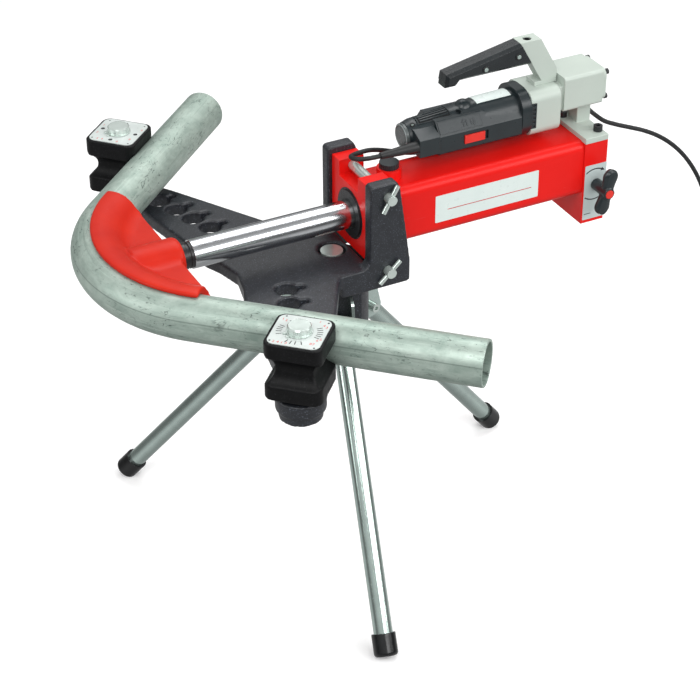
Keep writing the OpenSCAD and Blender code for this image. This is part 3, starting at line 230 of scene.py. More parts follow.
def worn_zinc(name, colour, shade, speck):
    """Galvanised pipe: cloudy spangle, long drawn streaks, cracks, dark specks and a weld line.

    It reads the pipe's own coordinates, metres along it and round it."""
    s = Shader(name)
    along = s.tree.nodes.new("ShaderNodeTexCoord").outputs["UV"]

    def stretched(x, y):
        return s.stretched((x, y, 1.0), along)

    def line(x, y, width):
        """Thin wandering lines, where a stretched noise crosses its middle."""
        away = s.distance(s.noise(1.0, 3, 0.55, stretched(x, y), 0.8), 0.5)
        return s.span(away, 0.0, width, 1.0, 0.0)

    def times(p, q):
        return s.calc("MULTIPLY", p, q)

    cloud = s.span(s.noise(1.0, 7, 0.66, stretched(22.0, 34.0), 0.6), 0.34, 0.68, 0.0, 1.0)
    base = s.mix(cloud, colour, shade)
    spangle = s.part(s.cells(1.0, stretched(150.0, 210.0)), "X")
    base = s.mix(s.span(spangle, 0.0, 1.0, 0.0, 0.16), base, scaled(colour, 1.25))
    streaks = s.noise(1.0, 5, 0.65, stretched(6.0, 240.0))
    base = s.mix(s.span(streaks, 0.56, 0.72, 0.0, 0.5), base, scaled(colour, 1.3))
    base = s.mix(s.span(streaks, 0.30, 0.42, 0.45, 0.0), base, scaled(shade, 0.55))
    patches = s.span(s.noise(1.0, 4, 0.6, stretched(13.0, 18.0)), 0.43, 0.56, 0.15, 1.0)
    broken = s.span(s.noise(1.0, 3, 0.6, stretched(60.0, 90.0)), 0.44, 0.56, 0.0, 0.85)
    cracks = times(line(20.0, 62.0, 0.013), times(patches, broken))
    spots = times(s.span(s.noise(1.0, 3, 0.7, stretched(150.0, 260.0)), 0.60, 0.67, 0.0, 0.7), patches)
    base = s.mix(spots, base, speck)
    base = s.mix(cracks, base, speck)
    weld = s.span(s.distance(s.part(along, "Y"), WELD_AT), WELD_FULL, WELD_FADED, 0.55, 0.0)
    return s.finish(
        Base_Color=s.mix(weld, base, scaled(shade, 0.5)),
        Metallic=0.45,
        Roughness=s.span(s.noise(1.0, 5, 0.6, stretched(30.0, 60.0)), 0.3, 0.72, 0.36, 0.58),
        Normal=s.bump(s.noise(1.0, 4, 0.65, stretched(240.0, 300.0)), 0.2, 0.25 * MM),
    )


def plated(name, colour, rough=(0.14, 0.26), metallic=0.9, grain=90.0, depth=0.03, blotch=0.88):
    """Bright plated steel: faint clouding, fine drawing marks and small dull spots."""
    s = Shader(name)
    haze = s.span(s.noise(38.0, 5), 0.35, 0.7, 0.0, 1.0)
    dull = s.span(s.noise(420.0, 3, 0.6), 0.66, 0.74, 0.0, 0.35)
    base = s.mix(haze, colour, scaled(colour, blotch))
    base = s.mix(dull, base, scaled(colour, 0.6))
    return s.finish(
        Base_Color=base,
        Metallic=metallic,
        Roughness=s.span(s.noise(grain, 5, 0.6), 0.3, 0.72, *rough),
        Normal=s.bump(s.noise(6.0 * grain, 3), depth, 0.1 * MM, s.soft_edges(0.5 * MM)),
    )


def moulded(name, colour, light, rough=(0.38, 0.52), grain=1500.0, depth=0.2, edge=0.9 * MM):
    """Moulded plastic, rubber or print with a fine skin grain and handling marks."""
    s = Shader(name)
    tone = s.span(s.noise(40.0, 5), 0.35, 0.7, 0.0, 1.0)
    return s.finish(
        Base_Color=s.mix(tone, colour, light),
        Roughness=s.span(s.noise(120.0, 4), 0.3, 0.7, *rough),
        Normal=s.bump(s.noise(grain, 2), depth, 0.15 * MM, s.soft_edges(edge)),
        Specular_IOR_Level=0.5,
    )


RED = gloss_paint("red_paint", (0.80, 0.010, 0.007), (0.75, 0.007, 0.005), coat=0.03, glare=0.22)
FORMER_RED = gloss_paint(
    "former_red", (0.58, 0.022, 0.008), (0.48, 0.013, 0.006), rough=(0.32, 0.46), coat=0.0, glare=0.18
)
GREY = gloss_paint("grey_paint", (0.505, 0.57, 0.515), (0.47, 0.53, 0.48), rough=(0.36, 0.5), coat=0.05)
CAST = cast_black("black_cast", (0.014, 0.0158, 0.020), (0.022, 0.0248, 0.031), (0.35, 0.5), specks=0.6)
BLACK_METAL = cast_black(
    "black_metal", (0.010, 0.010, 0.012), (0.018, 0.019, 0.021), (0.26, 0.42), speck_size=1400.0, specks=0.1
)
ROLLER = cast_black(
    "roller_cast", (0.003, 0.0031, 0.0034), (0.0055, 0.0057, 0.0063), (0.38, 0.54),
    speck_size=640.0, specks=0.35, gloss=0.16
)
PIPE = worn_zinc("zinc_pipe", (0.45, 0.54, 0.48), (0.26, 0.345, 0.30), (0.030, 0.040, 0.037))
LEG = plated("zinc_leg", (0.54, 0.65, 0.61), (0.10, 0.20), 0.85)
CHROME = plated("chrome_rod", (0.62, 0.64, 0.66), (0.14, 0.22), 1.0, 60.0, 0.012, 0.94)
STEEL = plated("steel", (0.66, 0.74, 0.70), (0.17, 0.28), 0.65)
PLUG_METAL = plated("plug_metal", (0.78, 0.74, 0.62), (0.18, 0.3), 1.0)
DARK = moulded("dark_plastic", (0.013, 0.0200, 0.0230), (0.0165, 0.0250, 0.0280), (0.27, 0.33), 1500.0, 0.1)
GRIP = moulded(
    "grip_plastic", (0.009, 0.0125, 0.0145), (0.013, 0.017, 0.0195), (0.24, 0.31), 1800.0, 0.05, edge=0.3 * MM
)
RED_PLASTIC = moulded("red_plastic", (0.78, 0.03, 0.018), (0.68, 0.022, 0.014), (0.25, 0.36))
RUBBER = moulded("black_rubber", (0.008, 0.009, 0.0095), (0.016, 0.017, 0.018), (0.42, 0.6), 1100.0, 0.3)
FOOT = moulded("foot_rubber", (0.005, 0.0055, 0.006), (0.010, 0.011, 0.012), (0.14, 0.26), 900.0, 0.08)
WHITE = moulded("scale_white", (0.60, 0.65, 0.63), (0.53, 0.58, 0.56), (0.26, 0.38), 2200.0, 0.05)
# Near-black finish for painted shade: the dark of the vent slots and of the hole round the motor's screw.
SHADE_BLACK = moulded("painted_shade_black", (0.003, 0.003, 0.0035), (0.006, 0.006, 0.007), (0.6, 0.8), 900.0, 0.2)
LABEL = moulded("label_white", (0.74, 0.82, 0.79), (0.69, 0.78, 0.75), (0.25, 0.36), 2600.0, 0.04, 0.2 * MM)
PLATE = moulded("label_grey", (0.56, 0.64, 0.63), (0.51, 0.59, 0.58), (0.28, 0.4), 2600.0, 0.05, 0.2 * MM)
INK = moulded("black_ink", (0.02, 0.02, 0.022), (0.035, 0.035, 0.038), (0.45, 0.6), 2200.0, 0.05)
RED_INK = moulded("red_ink", (0.68, 0.03, 0.025), (0.56, 0.025, 0.02), (0.4, 0.5), 2200.0, 0.05)
RIM = moulded("end_rim", (0.20, 0.23, 0.23), (0.26, 0.29, 0.29), (0.25, 0.36), 1800.0, 0.1)
END_DISC = moulded("end_disc", (0.070, 0.083, 0.084), (0.10, 0.115, 0.115), (0.22, 0.34), 1500.0, 0.12)

SLOT_MATERIAL = {
    "red_paint": RED,
    "black_cast": CAST,
    "black_metal": BLACK_METAL,
    "chrome_rod": CHROME,
    "steel": STEEL,
    "zinc_pipe": PIPE,
    "zinc_leg": LEG,
    "scale_white": WHITE,
    "grey_paint": GREY,
    "dark_plastic": DARK,
    "red_plastic": RED_PLASTIC,
    "black_rubber": RUBBER,
    "tie_plastic": DARK,
    "plug_metal": PLUG_METAL,
}


def wear(obj, material):
    """Gives an object one finish all over."""
    obj.data.materials.clear()
    obj.data.materials.append(material)


for part in frame["record"]["subparts"]:
    wear(nodes[part["node"]], SLOT_MATERIAL[part["material_slot"]])
for name in ("near_foot_cap", "far_foot_cap", "rear_foot_cap"):
    wear(nodes[name], FOOT)
wear(nodes["motor_end_cap"], END_DISC)
wear(nodes["grip_screws"], LEG)

# Making pieces


def piece(name, mesh_or_curve, material, body):
    """Links a new piece, gives it its finish and rides it on a body."""
    obj = bpy.data.objects.new(name, mesh_or_curve)
    bpy.context.collection.objects.link(obj)
    wear(obj, material)
    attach(obj, body)
    return obj


def mesh_from(bm, name, smooth=False):
    """Turns a bmesh into a mesh and frees it."""
    mesh = bpy.data.meshes.new(name)
    bm.normal_update()
    bm.to_mesh(mesh)
    bm.free()
    for polygon in mesh.polygons:
        polygon.use_smooth = smooth
    return mesh


def closed_form(bm, name, sharp):
    """A smooth mesh of a closed form, with edges over a number of degrees kept sharp."""
    bmesh.ops.recalc_face_normals(bm, faces=bm.faces)
    mesh = mesh_from(bm, name, smooth=True)
    mesh.set_sharp_from_angle(angle=math.radians(sharp))
    return mesh


def spread(low, high, steps):
    """Evenly spaced values from one to another, both included."""
    return [low + (high - low) * k / steps for k in range(steps + 1)]


def round_angles(count):
    """Angles of evenly spaced points round a circle."""
    return [2 * math.pi * k / count for k in range(count)]


def round_outline(width, height, radius, steps=6):
    """Points of a rounded rectangle about the origin."""
    points = []
    for corner, (sx, sy) in enumerate(((1, 1), (-1, 1), (-1, -1), (1, -1))):
        u, v = sx * (width / 2 - radius), sy * (height / 2 - radius)
        for k in range(steps + 1):
            a = math.radians(90 * corner + 90 * k / steps)
            points.append((u + radius * math.cos(a), v + radius * math.sin(a)))
    return points


def raised(bm, outline, thickness, place):
    """Adds a flat raised shape to bm. place maps (u, v, height) to the row."""
    low = [bm.verts.new(place(u, v, 0.0)) for u, v in outline]
    high = [bm.verts.new(place(u, v, thickness)) for u, v in outline]
    bm.faces.new(high)
    bm.faces.new(list(reversed(low)))
    for i in range(len(outline)):
        j = (i + 1) % len(outline)
        bm.faces.new((low[i], low[j], high[j], high[i]))


def bar(u, v, length, width, turn):
    """Outline of a thin bar centred on (u, v), turned by a number of radians."""
    c, s = math.cos(turn), math.sin(turn)
    half_l, half_w = length / 2, width / 2
    return [
        (u + c * a - s * b, v + s * a + c * b)
        for a, b in ((-half_l, -half_w), (half_l, -half_w), (half_l, half_w), (-half_l, half_w))
    ]


def path_curve(name, points, radius, roundness=6):
    """A round tube along a line of points, as one spline."""
    curve = bpy.data.curves.new(name, "CURVE")
    curve.dimensions = "3D"
    curve.bevel_depth = radius
    curve.bevel_resolution = roundness
    curve.use_fill_caps = True
    spline = curve.splines.new("POLY")
    spline.points.add(len(points) - 1)
    for target, point in zip(spline.points, points):
        target.co = (*point, 1)
    return curve


def closed_bead(name, points, radius, material, body):
    """A thin raised rim along a closed line of points."""
    curve = path_curve(name, points, radius, roundness=2)
    curve.splines[0].use_cyclic_u = True
    return piece(name, curve, material, body)


# Mains cord

CORD_D = 6.5 * MM
CORD_ROUTE = [
    (38, -14, 84), (35.5, -14, 84), (33, -14, 84), (21, -11, 83), (12, -3, 80.5), (9, 9, 77),
    (12, 20, 73.5), (21, 28, 70.5), (33, 32, 69.2), (47, 34.5, 67.5), (62, 37, 63), (80, 38, 56.5),
    (100, 36, 50), (125, 33, 46), (150, 31, 45.5), (180, 30, 45.5),
    (210, 30, 45.5), (240, 30, 45.5), (265, 31, 45.5), (290, 34, 46), (315, 38, 49), (338, 41, 52.2),
    (360, 41, 52.4), (382, 42, 52.6), (400, 45, 44), (417, 51, 28), (437, 52, 11), (458, 52, 0),
    (481, 52, -10), (508, 52, -22), (536, 52, -38), (564, 52, -60), (590, 52, -88),
    (614, 52, -124), (634, 52, -168), (650, 52, -222), (662, 52, -283), (671, 52, -345),
    (678, 52, -407), (688, 52, -457), (699, 52, -478), (713, 52, -490), (724, 52, -493.5),
    (729.5, 52, -493.5), (735, 52, -493.5),
]
COIL_R_IN = 26.0
COIL_PITCH = 7.4
COIL_LAYER = 7.0
COIL_TURNS_IN = 3.5
COIL_CLIMB = 0.5
COIL_TURNS_OUT = 3.0
COIL_DIP = 2.5
COIL_EXIT = 44.0
COIL_R_OUT = COIL_R_IN + COIL_PITCH * COIL_TURNS_IN
COIL_STEPS = 36
CORD_STEPS = 6


def smooth_line(points, steps):
    """Points on a smooth curve through the given ones."""
    pts = [Vector(p) for p in points]
    line = []
    for i in range(len(pts) - 1):
        a, b, c, d = pts[max(i - 1, 0)], pts[i], pts[i + 1], pts[min(i + 2, len(pts) - 1)]
        square, cube = 2 * a - 5 * b + 4 * c - d, 3 * b - a - 3 * c + d
        for k in range(steps):
            t = k / steps
            line.append((2 * b + (c - a) * t + square * t**2 + cube * t**3) / 2)
    return line + [pts[-1]]


def coil_line():
    """The tied coil: inwards, up half a turn, and outwards, as in the CAD."""
    entry = Vector(CORD_ROUTE[-1])
    centre = entry + Vector((CORD_D / MM, -COIL_R_OUT, 0))
    turns = COIL_TURNS_IN + COIL_CLIMB + COIL_TURNS_OUT
    line = []
    for i in range(int(turns * COIL_STEPS) + 1):
        turn = i / COIL_STEPS
        climbed = min(max((turn - COIL_TURNS_IN) / COIL_CLIMB, 0), 1)
        if turn < COIL_TURNS_IN:
            r = COIL_R_OUT - COIL_PITCH * turn
        elif climbed < 1:
            r = COIL_R_IN - COIL_DIP * math.sin(math.pi * climbed)
        else:
            r = COIL_R_IN + (COIL_R_OUT - COIL_R_IN) * (turn - COIL_TURNS_IN - COIL_CLIMB) / COIL_TURNS_OUT
        a = 2 * math.pi * turn
        line.append(centre + Vector((r * math.sin(a), r * math.cos(a), COIL_LAYER * climbed)))
    return line + [line[-1] + Vector((COIL_EXIT, 0, 0))]


def make_cord():
    line = [at(*p) for p in smooth_line(CORD_ROUTE, CORD_STEPS) + coil_line()]
    cord = piece("mains_cord", path_curve("mains_cord", line, CORD_D / 2), RUBBER, "machine")
    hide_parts("cord_run", "cord_coil")


make_cord()

# Castings and housings with soft edges

BODY_OF = {node: body for body, names in frame["record"]["behaviour"]["bodies"].items() for node in names}


def stand_in(name, mesh, material, suffix):
    """A piece with its own mesh that stands where a CAD node is."""
    obj = piece(name + suffix, mesh, material, BODY_OF[name])
    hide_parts(name)
    return obj


SMOOTH_FACTOR = 0.5


def cast(name, voxel, passes, material, keep=0.5, fuller=None):
    """The node's solid with every edge rounded over and every corner filled, as a casting has them.

    fuller, where given, adds forms to the solid first."""
    bm = bmesh.new()
    bm.from_mesh(nodes[name].data)
    if fuller:
        fuller(bm)
    rough = bpy.data.objects.new("rough", mesh_from(bm, "rough"))
    bpy.context.collection.objects.link(rough)
    remesh = rough.modifiers.new("remesh", "REMESH")
    remesh.mode = "VOXEL"
    remesh.voxel_size = voxel * MM
    smooth = rough.modifiers.new("smooth", "SMOOTH")
    smooth.factor = SMOOTH_FACTOR
    smooth.iterations = passes
    fewer = rough.modifiers.new("fewer", "DECIMATE")
    fewer.ratio = keep
    graph = bpy.context.evaluated_depsgraph_get()
    mesh = bpy.data.meshes.new_from_object(rough.evaluated_get(graph))
    bpy.data.objects.remove(rough)
    mesh.name = name + "_cast"
    for polygon in mesh.polygons:
        polygon.use_smooth = True
    return stand_in(name, mesh, material, "_cast")


SAME_POINT = 0.02 * MM
SAME_PLANE = math.radians(0.4)
IS_ROUNDED = math.radians(30)
STAYS_SHARP = math.radians(50)
EDGE_STEPS = 3


def soften(name, width, material):
    """The node's solid with its sharp edges rounded to a small radius."""
    bm = bmesh.new()
    bm.from_mesh(nodes[name].data)
    bmesh.ops.remove_doubles(bm, verts=bm.verts, dist=SAME_POINT)
    bmesh.ops.dissolve_limit(bm, angle_limit=SAME_PLANE, verts=bm.verts, edges=bm.edges)
    edges = [e for e in bm.edges if len(e.link_faces) == 2 and e.calc_face_angle(0.0) > IS_ROUNDED]
    bmesh.ops.bevel(
        bm,
        geom=edges,
        offset=width * MM,
        segments=EDGE_STEPS,
        profile=0.5,
        affect="EDGES",
        clamp_overlap=True,
    )
    mesh = mesh_from(bm, name + "_soft", smooth=True)
    mesh.set_sharp_from_angle(angle=STAYS_SHARP)
    obj = stand_in(name, mesh, material, "_soft")
    obj.modifiers.new("weighted", "WEIGHTED_NORMAL").keep_sharp = True
    return obj


cast("bending_frame", voxel=1.9, passes=9, material=CAST)
cast("bending_former", voxel=1.7, passes=12, material=FORMER_RED)
for side in ("near", "far"):
    cast(side + "_roller", voxel=1.4, passes=6, material=ROLLER)

# Widths of the rounded edges, in millimetres, and finishes
SOFT_EDGES = (
    ("gear_housing", 2.2, GREY),
    ("pump_housing", 1.6, GREY),
    ("handle_arm", 2.2, GREY),
    ("pump_base", 1.0, GREY),
    ("pump_rear_cover", 0.8, GREY),
    ("cord_block", 2.0, DARK),
    ("motor_collar", 1.4, DARK),
    ("motor_housing", 0.8, DARK),
    ("near_grip_half", 1.0, GRIP),
    ("far_grip_half", 1.0, GRIP),
)
for name, width, material in SOFT_EDGES:
    soften(name, width, material)

KNOB_TURN = math.radians(14)
KNOB_WING_IN = 9.0
# Each lobe of the knob has a reach from the hub and three radii: across, thick and along the wing.
KNOB_LOBES = ((7.0, (8.6, 7.4, 8.0)), (22.6, (12.0, 6.8, 11.6)))


def knob_wings(bm):
    """Adds full round wings to the knob, each the hull of a lobe at the hub and one at the tip."""
    knob_low, _ = (Vector(c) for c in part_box("valve_knob"))
    cap_low, cap_high = (Vector(c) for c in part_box("valve_knob_cap"))
    cap = (cap_low + cap_high) / 2
    hub = Vector((cap.x, knob_low.y + KNOB_WING_IN * MM, cap.z))
    turn = Matrix.Rotation(KNOB_TURN, 4, "Y")
    for side in (-1, 1):
        wing = bmesh.new()
        for reach, radii in KNOB_LOBES:
            place = Matrix.Translation(hub) @ turn @ Matrix.Translation((0, 0, side * reach * MM))
            bmesh.ops.create_uvsphere(
                wing, u_segments=32, v_segments=20, radius=MM, matrix=place @ Matrix.Diagonal((*radii, 1))
            )
        inside = bmesh.ops.convex_hull(wing, input=wing.verts)["geom_interior"]
        bmesh.ops.delete(wing, geom=[g for g in inside if isinstance(g, bmesh.types.BMVert)], context="VERTS")
        mesh = mesh_from(wing, "wing")
        bm.from_mesh(mesh)
        bpy.data.meshes.remove(mesh)


cast("valve_knob", voxel=0.8, passes=7, material=DARK, keep=0.6, fuller=knob_wings)

BLOCK_EDGE = 0.9
for name in ("front_block", "rear_block"):
    soften(name, BLOCK_EDGE, RED)

# Bent pipe, with coordinates along and round it for its streaks

BEND = math.radians(46.75)
BEND_X = -161.98
BEND_R = 192.0
PIPE_R = 30.15
PIPE_WALL = 3.6
PIPE_LIP = 0.5
NEAR_LEG, FAR_LEG = 377.0, 329.0
LEG_STEPS, BEND_STEPS, ROUND_STEPS = 12, 40, 64


def pipe_point(along):
    """Centre and outward direction at a distance along the pipe from the middle of the bend."""
    arc = BEND_R * BEND
    turn = max(-BEND, min(BEND, along / BEND_R))
    past = along - max(-arc, min(arc, along))
    out = Vector((-math.cos(turn), -math.sin(turn), 0))
    heading = Vector((math.sin(turn), -math.cos(turn), 0))
    return Vector((BEND_X, 0, 0)) + BEND_R * out + past * heading, out


def pipe_profile():
    """Places along the pipe with a radius for each, out along the outside and back along the bore."""
    arc = BEND_R * BEND
    stations = [-arc - FAR_LEG * k / LEG_STEPS for k in range(LEG_STEPS, 0, -1)]
    stations += [arc * k / BEND_STEPS for k in range(-BEND_STEPS, BEND_STEPS + 1)]
    stations += [arc + NEAR_LEG * k / LEG_STEPS for k in range(1, LEG_STEPS + 1)]
    first, *between, last = stations
    cuts = [(first, PIPE_LIP), (first + PIPE_LIP, 0)]
    cuts += [(along, 0) for along in between]
    cuts += [(last - PIPE_LIP, 0), (last, PIPE_LIP)]
    outside = [(along, PIPE_R - cut) for along, cut in cuts]
    return outside + [(along, PIPE_R - PIPE_WALL + cut) for along, cut in reversed(cuts)]


def make_pipe():
    bm = bmesh.new()
    uv = bm.loops.layers.uv.new("along")
    up = Vector((0, 0, 1))
    rings = []
    for along, radius in pipe_profile():
        centre, out = pipe_point(along)
        ring = []
        for a in round_angles(ROUND_STEPS):
            ring.append(bm.verts.new(at(*(centre + radius * (math.cos(a) * out + math.sin(a) * up)))))
        rings.append((along, ring))
    for (s0, a), (s1, b) in zip(rings, rings[1:] + rings[:1]):
        for k in range(ROUND_STEPS):
            m = (k + 1) % ROUND_STEPS
            face = bm.faces.new((a[k], a[m], b[m], b[k]))
            for corner, (along, step) in zip(face.loops, ((s0, k), (s0, k + 1), (s1, k + 1), (s1, k))):
                corner[uv].uv = (along * MM, 2 * math.pi * PIPE_R * MM * step / ROUND_STEPS)
    stand_in("bent_pipe", closed_form(bm, "bent_pipe_skin", sharp=30), PIPE, "_skin")


make_pipe()

# Labels, scales, marks and other small trim, with dark pieces of painted shade in the motor's vent, round
# screws and in the arm's hole


def flat_piece(name, outlines, thickness, place, material, body):
    """A thin piece made of raised outlines."""
    bm = bmesh.new()
    for outline in outlines:
        raised(bm, outline, thickness, place)
    bmesh.ops.recalc_face_normals(bm, faces=bm.faces)
    return piece(name, mesh_from(bm, name), material, body)


def band(u, v, radius, width, start, end, steps=14):
    """Outline of an arc-shaped line."""
    angles = [math.radians(a) for a in spread(start, end, steps)]
    outer = [(u + (radius + width / 2) * math.cos(a), v + (radius + width / 2) * math.sin(a)) for a in angles]
    inner = [(u + (radius - width / 2) * math.cos(a), v + (radius - width / 2) * math.sin(a)) for a in angles]
    return outer + inner[::-1]


def arrow_head(u, v, turn, length, width):
    """Outline of an arrow's head that points at a number of degrees."""
    c, s = math.cos(math.radians(turn)), math.sin(math.radians(turn))
    points = ((length, 0), (0, width / 2), (0, -width / 2))
    return [(u + c * a - s * b, v + s * a + c * b) for a, b in points]


def disc(u, v, radius, steps=20):
    return [(u + radius * math.cos(a), v + radius * math.sin(a)) for a in round_angles(steps)]


def shifted(outline, u, v):
    return [(a + u, b + v) for a, b in outline]


def near_side(x, z, y):
    """Place on a face that looks to the near side."""
    return lambda u, v, h: at(x + u, y - h, z + v)


# Thicknesses of a label, of the print on a label and of the print on a scale
LABEL_T, PRINT_T, SCALE_PRINT_T = 0.35, 0.08, 0.06
LABEL_CORNER = 1.2
RULE_W = 1.1
CYLINDER_SIDE = -42.0
CYLINDER_LABEL_AT, CYLINDER_LABEL = (189, -2.5), (162, 41)
CYLINDER_RULE_AT, CYLINDER_RULE_L = (4, -3.5), 132
BLOCK_SIDE = -44.0
VALVE_LABEL_AT, VALVE_LABEL, VALVE_LABEL_SHIFT = (364, -26), (35, 86), (-1.2, -12)
VALVE_RULE_AT, VALVE_RULE_L = (-11, -46), 11
VALVE_ARC_AT, VALVE_ARC_R, VALVE_ARC_W = -2, 24, 1.8
VALVE_HEAD = (6.5, 5.6)
# Start and end of each arc, and the way that its head points, in degrees
VALVE_ARCS = ((128, 66, -28), (232, 298, 32))


def cylinder_label():
    face = near_side(*CYLINDER_LABEL_AT, CYLINDER_SIDE)
    sheet = round_outline(*CYLINDER_LABEL, LABEL_CORNER)
    flat_piece("cylinder_label", [sheet], LABEL_T, face, LABEL, "machine")
    top = near_side(*CYLINDER_LABEL_AT, CYLINDER_SIDE - LABEL_T)
    rule = bar(*CYLINDER_RULE_AT, CYLINDER_RULE_L, RULE_W, 0)
    flat_piece("cylinder_label_rule", [rule], PRINT_T, top, RED_INK, "machine")


def valve_label():
    face = near_side(*VALVE_LABEL_AT, BLOCK_SIDE)
    sheet = shifted(round_outline(*VALVE_LABEL, LABEL_CORNER), *VALVE_LABEL_SHIFT)
    flat_piece("valve_label", [sheet], LABEL_T, face, PLATE, "machine")
    marks = []
    for start, end, way in VALVE_ARCS:
        marks.append(band(VALVE_ARC_AT, 0, VALVE_ARC_R, VALVE_ARC_W, start, end))
        u = VALVE_ARC_AT + VALVE_ARC_R * math.cos(math.radians(end))
        v = VALVE_ARC_R * math.sin(math.radians(end))
        marks.append(arrow_head(u, v, way, *VALVE_HEAD))
    marks.append(bar(*VALVE_RULE_AT, VALVE_RULE_L, RULE_W, 0))
    top = near_side(*VALVE_LABEL_AT, BLOCK_SIDE - LABEL_T)
    flat_piece("valve_marks", marks, PRINT_T, top, INK, "machine")


MOTOR_Y, MOTOR_Z = 16.0, 88.0
MOTOR_FRONT, MOTOR_L, MOTOR_R = 90.0, 165.0, 30.5
BARREL_X = (0, 0.06, 0.32, 0.48, 0.68, 1)
BARREL_R = (0.6, 0.7, 0.8, 0.87, 0.97, 1)


def barrel_r(x):
    """Radius of the motor's barrel, from its turned profile."""
    share = (x - MOTOR_FRONT) / MOTOR_L
    for k in range(len(BARREL_X) - 1):
        if share <= BARREL_X[k + 1]:
            part = (share - BARREL_X[k]) / (BARREL_X[k + 1] - BARREL_X[k])
            return MOTOR_R * (BARREL_R[k] + part * (BARREL_R[k + 1] - BARREL_R[k]))
    return MOTOR_R


def on_barrel(x, turn, proud):
    """A point over the barrel. A positive turn goes to the near side."""
    a, r = math.radians(turn), barrel_r(x) + proud
    return at(x, MOTOR_Y - r * math.sin(a), MOTOR_Z + r * math.cos(a))


def barrel_patch(bm, rows, low, high, steps=8):
    """Adds a closed patch over the barrel. Each row is a turn with its two ends along x."""
    grid = {}
    for h, proud in enumerate((low, high)):
        for j, (turn, x0, x1) in enumerate(rows):
            for i in range(steps + 1):
                grid[h, i, j] = bm.verts.new(on_barrel(x0 + (x1 - x0) * i / steps, turn, proud))
    last = len(rows) - 1
    for h in (0, 1):
        for i in range(steps):
            for j in range(last):
                bm.faces.new([grid[h, i, j], grid[h, i + 1, j], grid[h, i + 1, j + 1], grid[h, i, j + 1]])
    rim = [(i, 0) for i in range(steps)] + [(steps, j) for j in range(last)]
    rim += [(i, last) for i in range(steps, 0, -1)] + [(0, j) for j in range(last, 0, -1)]
    for (i, j), (k, m) in zip(rim, rim[1:] + rim[:1]):
        bm.faces.new([grid[0, i, j], grid[0, k, m], grid[1, k, m], grid[1, i, j]])


def barrel_piece(name, patches, low, high, material, slot):
    """A piece made of patches that follow the barrel."""
    bm = bmesh.new()
    for rows in patches:
        barrel_patch(bm, rows, low, high)
    return piece(name, closed_form(bm, name, sharp=40), material, "machine")


def barrel_place(x, turn):
    """A place on the barrel, for points given along it, round it and over it."""
    here = on_barrel(x, turn, 0.0)
    along = (on_barrel(x + 1, turn, 0.0) - here).normalized()
    round_it = (on_barrel(x, turn - 1, 0.0) - here).normalized()
    out = along.cross(round_it).normalized()
    return lambda u, v, h: here + (u * along + v * round_it + h * out) * MM


MOTOR_LABEL_TURNS, MOTOR_LABEL_X = (-36, 21), (196, 249)
# Undersides and tops of the patches on the barrel, over its surface
MOTOR_LABEL_Z, VENT_FIELD_Z, RIB_Z = (-0.3, 0.4), (-0.4, 0.2), (0.0, 1.5)


def motor_label():
    rows = [(turn, *MOTOR_LABEL_X) for turn in spread(*MOTOR_LABEL_TURNS, 16)]
    barrel_piece("motor_label", [rows], *MOTOR_LABEL_Z, LABEL, "scale_white")


VENT_TURNS = (-28, 34)
VENT_RIGHT = 154.0
VENT_LEFT = ((-30, 155), (-20, 135), (3, 106), (34, 105))
VENT_RIM_R, VENT_RIM_UP = 1.1, 0.5
RIB_TURNS = (-26, -16, -6, 4, 14, 24)
RIB_HALF = 2.3
RIB_FROM_LEFT, RIB_FROM_RIGHT = 3.0, 2.5


def vent_left(turn):
    """Left end of the vent at a turn of the barrel."""
    for (t0, x0), (t1, x1) in zip(VENT_LEFT, VENT_LEFT[1:]):
        if turn <= t1:
            return x0 + (x1 - x0) * (turn - t0) / (t1 - t0)
    return VENT_LEFT[-1][1]


def motor_vent():
    turns = spread(*VENT_TURNS, 20)
    field = [(turn, vent_left(turn), VENT_RIGHT) for turn in turns]
    # The near-black sheet under the ribs is painted shade, standing for the dark inside the vent slots.
    barrel_piece("vent_slot_shade", [field], *VENT_FIELD_Z, SHADE_BLACK, "dark_plastic")
    ribs = []
    for turn in RIB_TURNS:
        ends = vent_left(turn) + RIB_FROM_LEFT, VENT_RIGHT - RIB_FROM_RIGHT
        ribs.append([(t, *ends) for t in spread(turn - RIB_HALF, turn + RIB_HALF, 4)])
    barrel_piece("vent_ribs", ribs, *RIB_Z, DARK, "dark_plastic")
    edge = [(vent_left(turn), turn) for turn in turns]
    edge += [(VENT_RIGHT, turn) for turn in reversed(turns)]
    rim = [on_barrel(x, turn, VENT_RIM_UP) for x, turn in edge]
    closed_bead("vent_rim", rim, VENT_RIM_R * MM, DARK, "machine")


SCREW_AT = (97.5, 27)
SCREW_R, SCREW_T = 1.9, 0.4
SCREW_RIM_R, SCREW_RIM_UP, SCREW_BEAD_R = 2.5, 0.2, 0.9
SMALL_RIM_STEPS = 28


def motor_screw():
    place = barrel_place(*SCREW_AT)
    # The dark bead round the screw is painted shade, for the dark hole that the screw sits in.
    rim = [place(u, v, SCREW_RIM_UP) for u, v in disc(0, 0, SCREW_RIM_R, SMALL_RIM_STEPS)]
    closed_bead("motor_screw_shade_rim", rim, SCREW_BEAD_R * MM, SHADE_BLACK, "machine")
    flat_piece("motor_screw", [disc(0, 0, SCREW_R)], SCREW_T, place, LEG, "machine")


FACET_AT = Vector((167, MOTOR_Y - 27.2, MOTOR_Z + 12.2))
FACET_UP, FACET_OUT = Vector((0, 0.595, 0.803)), Vector((0, -0.803, 0.595))
PAD = ((-39, -8), (26, -8), (26, 9), (-39, 9))
PAD_T, ARROW_T = 0.9, 0.5
STEM, HEAD, BESIDE = (2, 6), (5, 6), (1.6, 8)
STEM_BACK, HEAD_ON = 1.0, 1.5
# Place of each arrow along the pad, the way that it points, and the place of the bar beside it
PAD_ARROWS = ((-1, 1, 3.5), (15, -1, 10.5))


def facet(lift):
    """Place over the motor's sloping near side, lifted by a number of millimetres."""
    return lambda u, v, h: at(*(FACET_AT + u * Vector((1, 0, 0)) + v * FACET_UP + (h + lift) * FACET_OUT))


